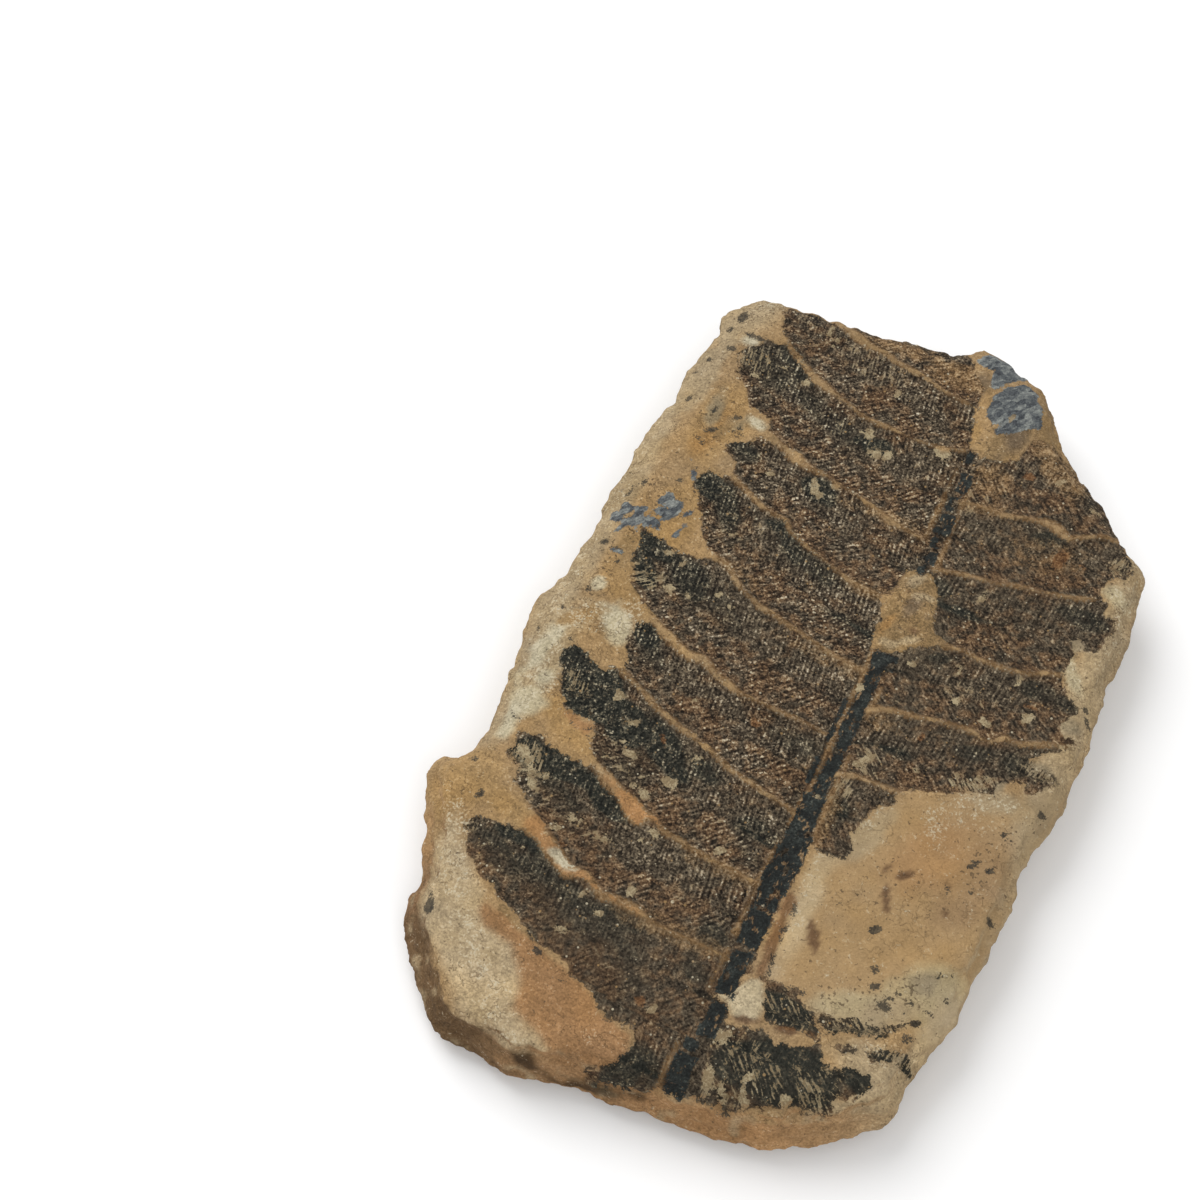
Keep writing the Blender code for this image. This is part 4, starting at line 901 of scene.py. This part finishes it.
def relief(points, f):
    """The height of the face's fine forms: seams, flakes, the stalk's trough and the grain."""
    film = within(f["film"], 0.5)
    height = -FILM_DEPTH * film
    height += SEAM_RISE * smooth((0.45 - f["seam"]) / 0.7) * (1.0 - within(f["bare"], 0.8))
    line = stalk_line(points)
    length = smooth((STALK_TOP - points[:, 1]) / 1.0) * smooth((points[:, 1] - STALK_FOOT) / 1.0)
    open_stalk = length * (1.0 - within(f["cover"], 0.8)) * (1.0 - within(f["cream"], 0.5))
    height -= TROUGH_DEPTH * open_stalk * smooth((1.25 - line) / 0.3)
    height += COAL_RISE * open_stalk * smooth(f["stalk"] / 0.35 + 0.3)
    height += COVER_RISE * within(f["cover"], 0.6) + CREAM_RISE * within(f["cream"], 0.4)
    height += CHIP_RISE * within(f["pale"], 0.3) * film
    height += MINERAL_RISE * within(f["mineral"], 0.4) * (1.0 + rough(points, 0.9, 21))
    height -= BARE_DEPTH * within(f["bare"], 0.7)
    height -= CREVICE_DEPTH * smooth((0.4 - f["crevice"]) / 0.7)
    height -= PIT_DEPTH * within(f["dark"], 0.3) * (1.0 - film)
    height += 0.07 * rough(points, 2.4, 11) + 0.05 * rough(points, 1.2, 12)
    height += (0.035 + 0.03 * film) * rough(points, 0.7, 13)
    return height


def broken(points):
    """How far the broken sides stand out: beds, lumps and grain."""
    bed = 0.24 * rough(points, (7.0, 7.0, 1.1), 31) + 0.18 * rough(points, (2.6, 2.6, 0.7), 32)
    lump = 0.12 * rough(points, (3.2, 3.2, 5.0), 33) + 0.20 * rough(points, 1.5, 34)
    return bed + lump + 0.18 * rough(points, 0.9, 35)


def carved(points, normals, f):
    """The vertices with the face's relief, the sides' rough break and the underside's hollows."""
    points = points.copy()
    points[:, 2] += f["up"] * relief(points, f)
    beside = 1.0 - smooth((np.abs(normals[:, 2]) - 0.55) / 0.35)
    shoulder = smooth((normals[:, 2] - 0.3) / 0.3) * (1.0 - smooth((normals[:, 2] - 0.9) / 0.08))
    break_out = broken(points)
    out = beside * break_out + 0.45 * shoulder * break_out
    points += normals * out[:, None]
    under = smooth((-normals[:, 2] - 0.5) / 0.3)
    hollows = 0.25 * rough(points, 3.0, 41) + 0.12 * rough(points, 1.2, 42)
    points[:, 2] += under * np.maximum(0.0, hollows)
    points[:, 2] = np.maximum(points[:, 2], 0.0)
    return points


def add_values(mesh, name, values, kind="FLOAT", key="value"):
    attribute = mesh.attributes.new(name, kind, "POINT")
    attribute.data.foreach_set(key, values.astype(np.float32).ravel())


def add_attributes(mesh, points, f, wobble):
    """Lays on the vertices every value that the material reads."""
    for name in ("film", "stalk", "pale", "rust", "dark", "mineral"):
        add_values(mesh, name, f[name] - FADE_DEPTH * (1.0 - f["face"]))
    for name in ("seam", "black", "worn", "sandy", "dirty"):
        add_values(mesh, name, f[name])
    add_values(mesh, "white", f["white"] * f["up"])
    add_values(mesh, "mottle", mottle_of(f))
    add_values(mesh, "crisp", crispness(points))
    add_values(mesh, "vein", vein_field(points[:, :2]), "FLOAT_VECTOR", "vector")
    tints = stone_tints(points, read_normals(mesh), f, wobble)
    opaque = np.ones((len(tints), 1))
    add_values(mesh, "stone_tint", np.hstack([tints, opaque]), "FLOAT_COLOR", "color")


def build_slab(node):
    """The dressed slab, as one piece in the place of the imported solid."""
    mesh = remeshed(node)
    points = evened(mesh)
    write_points(mesh, points)
    normals = read_normals(mesh)
    wobble = 0.6 * rough(points, 2.6, 3) + 0.35 * rough(points, 1.1, 4)
    f = fields_of(points, normals, wobble)
    points = carved(points, normals, f)
    write_points(mesh, points)
    add_attributes(mesh, points, f, wobble)
    mesh.shade_smooth()
    slab = bpy.data.objects.new("stone_slab", mesh)
    bpy.context.scene.collection.objects.link(slab)
    return slab


# ---- the material ----

class Graph:
    """A short way to write a material's nodes. Each call returns the new node's output socket."""

    def __init__(self, material):
        material.use_nodes = True
        self.nodes = material.node_tree.nodes
        self.links = material.node_tree.links

    def put(self, kind, values, output, **settings):
        node = self.nodes.new(kind)
        for name, value in settings.items():
            setattr(node, name, value)
        for name, value in values.items():
            if isinstance(value, bpy.types.NodeSocket):
                self.links.new(value, node.inputs[name])
            else:
                node.inputs[name].default_value = value
        return node.outputs[output]

    def attribute(self, name, output="Fac"):
        return self.put("ShaderNodeAttribute", {}, output, attribute_name=name)

    def part(self, vector, axis):
        return self.put("ShaderNodeSeparateXYZ", {"Vector": vector}, axis)

    def channel(self, colour, index):
        return self.put("ShaderNodeSeparateColor", {"Color": colour}, index)

    def math(self, operation, a, b=0.0, clamp=False):
        return self.put("ShaderNodeMath", {0: a, 1: b}, 0, operation=operation, use_clamp=clamp)

    def times(self, vector, factors):
        return self.put("ShaderNodeVectorMath", {0: vector, 1: factors}, 0, operation="MULTIPLY")

    def noise(self, vector, span, detail=2.0, roughness=0.5):
        """Noise from 0 to 1 with features about span across, where vector is in millimetres."""
        values = {"Vector": vector, "Scale": 1.0 / span, "Detail": detail, "Roughness": roughness}
        return self.put("ShaderNodeTexNoise", values, 0)

    def cells(self, vector, span, output):
        """Grains about span across: the Distance to a grain's middle, or its own random Color."""
        return self.put("ShaderNodeTexVoronoi", {"Vector": vector, "Scale": 1.0 / span}, output)

    def grains(self, vector, span):
        """A random number from 0 to 1 for each sand grain."""
        return self.channel(self.cells(vector, span, "Color"), 0)

    def step(self, value, low, high):
        """An eased step from 0 at low to 1 at high."""
        values = {"Value": value, "From Min": low, "From Max": high}
        return self.put("ShaderNodeMapRange", values, 0, interpolation_type="SMOOTHSTEP")

    def mix(self, share, a, b):
        return self.put("ShaderNodeMix", {0: share, 6: a, 7: b}, 2, data_type="RGBA")

    def ramp(self, share, stops):
        """A colour for each share, through stops of (share, screen colour)."""
        node = self.nodes.new("ShaderNodeValToRGB")
        self.links.new(share, node.inputs[0])
        points = node.color_ramp.elements
        points[0].position = stops[0][0]
        points[1].position = stops[-1][0]
        for place, _ in stops[1:-1]:
            points.new(place)
        for point, (_, colour) in zip(points, stops):
            point.color = rgba(colour)
        return node.outputs[0]

    def add(self, *values):
        total = values[0]
        for value in values[1:]:
            total = self.math("ADD", total, value)
        return total

    def scaled(self, value, factor, offset=0.0):
        """value times factor plus offset."""
        values = {0: value, 1: factor, 2: offset}
        return self.put("ShaderNodeMath", values, 0, operation="MULTIPLY_ADD")

    def swing(self, noise, width):
        """A noise from 0 to 1, made to swing by half the width to each side of zero."""
        return self.scaled(noise, width, -width / 2)

    def varied(self, value, *swings):
        """value plus swings of noise, each given as (noise, width)."""
        return self.add(value, *(self.swing(noise, width) for noise, width in swings))


class Noises:
    """What the material's layers share: the place in millimetres, and noises from 0 to 1."""

    def __init__(self, g):
        here = g.put("ShaderNodeTexCoord", {}, "Object")
        self.place = g.times(here, (1.0 / MM, 1.0 / MM, 1.0 / MM))
        self.grain = g.grains(self.place, 0.30)
        self.coarse = g.grains(self.place, 0.8)
        self.fine = g.noise(self.place, 0.30, 2.0, 0.6)
        self.mid = g.noise(self.place, 1.5, 3.0, 0.6)
        self.broad = g.noise(self.place, 6.0, 3.0, 0.6)
        self.vein = g.attribute("vein", "Vector")
        self.streak = g.noise(g.times(self.vein, (1.0 / 0.36, 1.0 / 2.2, 0.0)), 1.0, 1.0, 0.5)


def rgba(colour):
    return (*(float(c) for c in srgb(colour)), 1.0)


def film_tone(g, n):
    """The film's tone from dark to light, with its veins, and how near a midrib is."""
    bent = g.add(g.scaled(g.part(n.vein, "X"), math.tau / VEIN_PITCH), g.scaled(n.mid, 3.0))
    clear = g.step(g.noise(n.place, 3.5, 1.0, 0.5), 0.42, 0.64)
    comb = g.math("MULTIPLY", g.math("SINE", bent), clear)
    tone = g.varied(g.swing(n.grain, 0.40), (n.fine, 0.85), (n.streak, 0.62))
    tone = g.math("MULTIPLY", g.add(tone, g.scaled(comb, 0.10)), g.attribute("crisp"))
    tone = g.add(tone, g.scaled(n.mid, 0.72, 0.13))
    rib = g.step(g.varied(g.part(n.vein, "Z"), (n.mid, 0.8)), 0.9, 0.2)
    return g.math("SUBTRACT", tone, g.scaled(rib, 0.12)), rib


def film_layer(g, n, tone, rib):
    """The film in brown, rusty or black, with stained seams, sandy places and rust marks."""
    upper = g.step(g.part(n.vein, "Y"), -1.5, 1.5)
    rusty = g.add(g.scaled(n.broad, 0.9), g.scaled(n.mid, 0.5), g.scaled(upper, -0.10, 0.05))
    colour = g.mix(g.step(rusty, 0.60, 0.90), g.ramp(tone, BROWN_FILM), g.ramp(tone, RUSTY_FILM))
    black = g.varied(g.attribute("black"), (n.mid, 1.0), (n.fine, 0.4))
    black = g.add(black, g.scaled(rib, 0.4), g.scaled(upper, 0.12, -0.04))
    colour = g.mix(g.step(black, 0.15, 0.80), colour, g.ramp(tone, BLACK_FILM))
    stain = g.varied(g.attribute("seam"), (n.broad, 1.2), (n.mid, 1.0), (n.fine, 1.2),
                     (n.grain, 0.3))
    stain = g.scaled(g.step(stain, 0.30, -0.25), 0.85)
    colour = g.mix(stain, colour, g.ramp(tone, STAIN))
    sandy = g.varied(g.attribute("sandy"), (n.mid, 1.2), (n.fine, 0.8))
    colour = g.mix(g.step(sandy, 0.0, 1.1), colour, g.ramp(tone, STAIN))
    rust = g.varied(g.attribute("rust"), (n.mid, 1.0), (n.fine, 0.8))
    rust = g.scaled(g.step(rust, -0.1, 0.3), 0.7)
    return g.mix(rust, colour, g.ramp(tone, RUST_MARK))


def grains_and_glints(g, n):
    """Single bright grains on the film, pale sand with painted glints, more of them where it is worn:
    their share and colour.
    """
    luck = g.cells(n.place, BRIGHT_PITCH, "Color")
    reach = g.add(g.scaled(g.channel(luck, 0), 0.42, -0.22), g.scaled(g.attribute("worn"), 0.16),
                  g.swing(n.broad, 0.3))
    share = g.math("SUBTRACT", reach, g.cells(n.place, BRIGHT_PITCH, "Distance"))
    hue = g.step(g.channel(luck, 1), 0.45, 0.65)
    return g.step(share, -0.05, 0.05), g.mix(hue, rgba(PALE_GRAIN_AND_GLINT), rgba(TAN_GRAIN))


def stone_layer(g, n, tone):
    """The bare stone with white sand, dark specks, fine cracks and dark marks, and its cracks."""
    uneven = g.attribute("mottle")
    spread = g.varied(g.swing(n.grain, 0.36), (n.fine, 0.9), (n.mid, 0.7), (n.broad, 0.35))
    shade = g.add(g.math("MULTIPLY", spread, uneven), 1.0)
    tinted = {0: g.attribute("stone_tint", "Color"), "Scale": shade}
    stone = g.put("ShaderNodeVectorMath", tinted, 0, operation="SCALE")
    white = g.scaled(g.attribute("white"), 0.55)
    white = g.step(g.varied(white, (n.fine, 1.6), (n.mid, 1.5), (n.grain, 0.5)), 0.30, 0.95)
    stone = g.mix(g.scaled(white, 0.9), stone, rgba(WHITE_SAND))
    dirt = g.scaled(g.attribute("dirty"), 0.13)
    speck = g.step(g.add(g.noise(n.place, 0.55, 1.0, 0.5), dirt), 0.70, 0.79)
    stone = g.mix(g.scaled(speck, 0.7), stone, rgba(DARK_SPECK))
    crack = g.math("ABSOLUTE", g.swing(g.noise(n.place, 2.2, 3.0, 0.6), 1.0))
    thick = g.step(g.add(n.broad, dirt), 0.50, 0.62)
    crack = g.math("MULTIPLY", g.step(crack, 0.016, 0.004), thick)
    stone = g.mix(g.math("MULTIPLY", g.scaled(crack, 0.5), uneven), stone, rgba(CRACK_BROWN))
    dark = g.step(g.varied(g.attribute("dark"), (n.fine, 1.4), (n.mid, 1.0)), -0.05, 0.12)
    return g.mix(g.scaled(dark, 0.9), stone, g.ramp(tone, DARK_MARK)), crack


def film_share(g, n, film):
    """How much of the film is left: none past its ragged edge, less where worn or chipped."""
    edge = g.varied(film, (n.mid, 1.3), (n.fine, 0.8), (n.grain, 0.3), (n.coarse, 0.5))
    worn = g.varied(g.attribute("worn"), (n.streak, 1.3), (n.fine, 0.9), (n.mid, 0.8))
    lost = g.scaled(g.step(worn, 0.44, 0.66), 0.75)
    share = g.math("SUBTRACT", g.step(edge, *EDGE), lost, clamp=True)
    pale = g.varied(g.attribute("pale"), (n.coarse, 0.5), (n.fine, 0.9), (n.mid, 1.2))
    return g.math("MULTIPLY", share, g.scaled(g.step(pale, -0.02, 0.12), -0.85, 1.0))


def coal_layer(g, n, tone):
    """Coal along the stalk, flecked with stone: its share and colour."""
    share = g.step(g.varied(g.attribute("stalk"), (n.fine, 0.9), (n.mid, 0.9)), *EDGE)
    coal_tone = g.add(g.varied(g.swing(n.fine, 0.8), (n.mid, 0.8)), g.scaled(n.grain, 0.15), 0.40)
    fleck = g.step(g.noise(g.times(n.place, (1.0, 0.55, 1.0)), 0.8, 2.0, 0.6), 0.60, 0.70)
    return share, g.mix(g.scaled(fleck, 0.7), g.ramp(coal_tone, COAL), g.ramp(tone, STAIN))


def mineral_layer(g, n):
    """Blue-grey mineral in flat, slanting crystals: its share, tone and colour."""
    share = g.step(g.varied(g.attribute("mineral"), (n.mid, 1.0), (n.fine, 0.8)), *EDGE)
    slant = {"Vector": n.place, "Angle": MINERAL_TURN}
    slanted = g.put("ShaderNodeVectorRotate", slant, 0, rotation_type="Z_AXIS")
    flat = g.times(slanted, (0.5, 1.0, 1.0))
    tone = g.varied(g.noise(flat, 0.5, 4.0, 0.7), (g.grains(flat, 0.7), 0.34), (n.broad, 0.7),
                    (n.fine, 0.5))
    return share, tone, g.ramp(tone, MINERAL)


def fern_stone_material():
    """The stone, the film on it, the coal and the mineral, one over the other."""
    material = bpy.data.materials.new("fern_stone")
    g = Graph(material)
    n = Noises(g)
    tone, rib = film_tone(g, n)
    # bright grains over the film: pale sand with painted glints
    bright, grain_colour = grains_and_glints(g, n)
    film_colour = g.mix(g.scaled(bright, 0.75), film_layer(g, n, tone, rib), grain_colour)
    stone, crack = stone_layer(g, n, tone)
    film = g.attribute("film")
    kept = film_share(g, n, film)
    chip = g.mix(g.step(g.add(n.fine, n.mid), 0.85, 1.15), rgba(LIGHT_CHIP), rgba(DULL_CHIP))
    under_film = g.mix(g.step(film, 0.2, 1.0), stone, chip)
    colour = g.mix(kept, under_film, film_colour)
    coal_share, coal = coal_layer(g, n, tone)
    colour = g.mix(coal_share, colour, coal)
    crust_share, crust_tone, crust = mineral_layer(g, n)
    colour = g.mix(crust_share, colour, crust)

    shader = g.nodes["Principled BSDF"]
    g.links.new(colour, shader.inputs["Base Color"])
    gloss = g.math("MAXIMUM", g.scaled(coal_share, 0.12), g.scaled(crust_share, 0.30))
    g.links.new(g.math("SUBTRACT", g.scaled(n.fine, 0.1, 0.85), gloss), shader.inputs["Roughness"])
    g.links.new(g.scaled(gloss, 0.9, 0.12), shader.inputs["Specular IOR Level"])
    height = g.add(g.scaled(n.grain, 0.5), g.scaled(n.fine, 1.1), g.scaled(n.mid, 0.9),
                   g.scaled(bright, 0.4), g.math("MULTIPLY", kept, g.scaled(n.streak, 0.5)),
                   g.scaled(crust_tone, 0.6), g.scaled(crack, -0.6))
    bump = {"Height": height, "Strength": 0.9, "Distance": BUMP_HEIGHT * MM}
    g.links.new(g.put("ShaderNodeBump", bump, 0), shader.inputs["Normal"])
    return material


# ---- the studio, in metres ----

def add_floor():
    mesh = bpy.data.meshes.new("floor")
    reach = FLOOR_REACH
    corners = [(-reach, -reach), (reach, -reach), (reach, reach), (-reach, reach)]
    mesh.from_pydata([(x, y, -FLOOR_DROP) for x, y in corners], [], [(0, 1, 2, 3)])
    floor = bpy.data.objects.new("floor", mesh)
    bpy.context.scene.collection.objects.link(floor)
    material = bpy.data.materials.new("pale_floor")
    material.use_nodes = True
    shader = material.node_tree.nodes["Principled BSDF"]
    shader.inputs["Base Color"].default_value = (0.95, 0.95, 0.95, 1.0)
    shader.inputs["Roughness"].default_value = 0.9
    mesh.materials.append(material)


def aim(holder, place, target):
    """Puts a light or the camera at a place, turned to look at its target."""
    holder.location = place
    holder.rotation_mode = "QUATERNION"
    holder.rotation_quaternion = (target - place).to_track_quat("-Z", "Y")
    bpy.context.scene.collection.objects.link(holder)


def add_light(name, place, size, power):
    """A soft round light that looks at the slab's middle."""
    light = bpy.data.lights.new(name, "AREA")
    light.shape = "DISK"
    light.size = size
    light.energy = power
    aim(bpy.data.objects.new(name, light), Vector(place), Vector((0.0, 0.0, 0.0)))


def add_studio():
    world = bpy.data.worlds.new("studio")
    world.use_nodes = True
    background = world.node_tree.nodes["Background"]
    background.inputs["Color"].default_value = (1.0, 1.0, 1.0, 1.0)
    background.inputs["Strength"].default_value = SKY_STRENGTH
    bpy.context.scene.world = world
    add_light("key", (-0.75, 0.45, 0.95), 1.0, KEY_POWER)
    add_light("fill", (0.55, -0.55, 0.95), 0.8, FILL_POWER)
    bpy.context.scene.view_settings.view_transform = "Standard"


def add_camera():
    data = bpy.data.cameras.new("camera")
    data.lens = CAMERA_LENS
    data.sensor_width = CAMERA_SENSOR
    data.clip_start = 0.01
    data.clip_end = 10.0
    camera = bpy.data.objects.new("camera", data)
    aim(camera, Vector(CAMERA_PLACE) * MM, Vector(CAMERA_TARGET) * MM)
    bpy.context.scene.camera = camera


add_camera()
add_studio()
add_floor()
slab = build_slab(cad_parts[NODE])
slab.data.materials.append(fern_stone_material())
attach(slab, "root")
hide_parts(NODE)

bpy.context.view_layer.update()
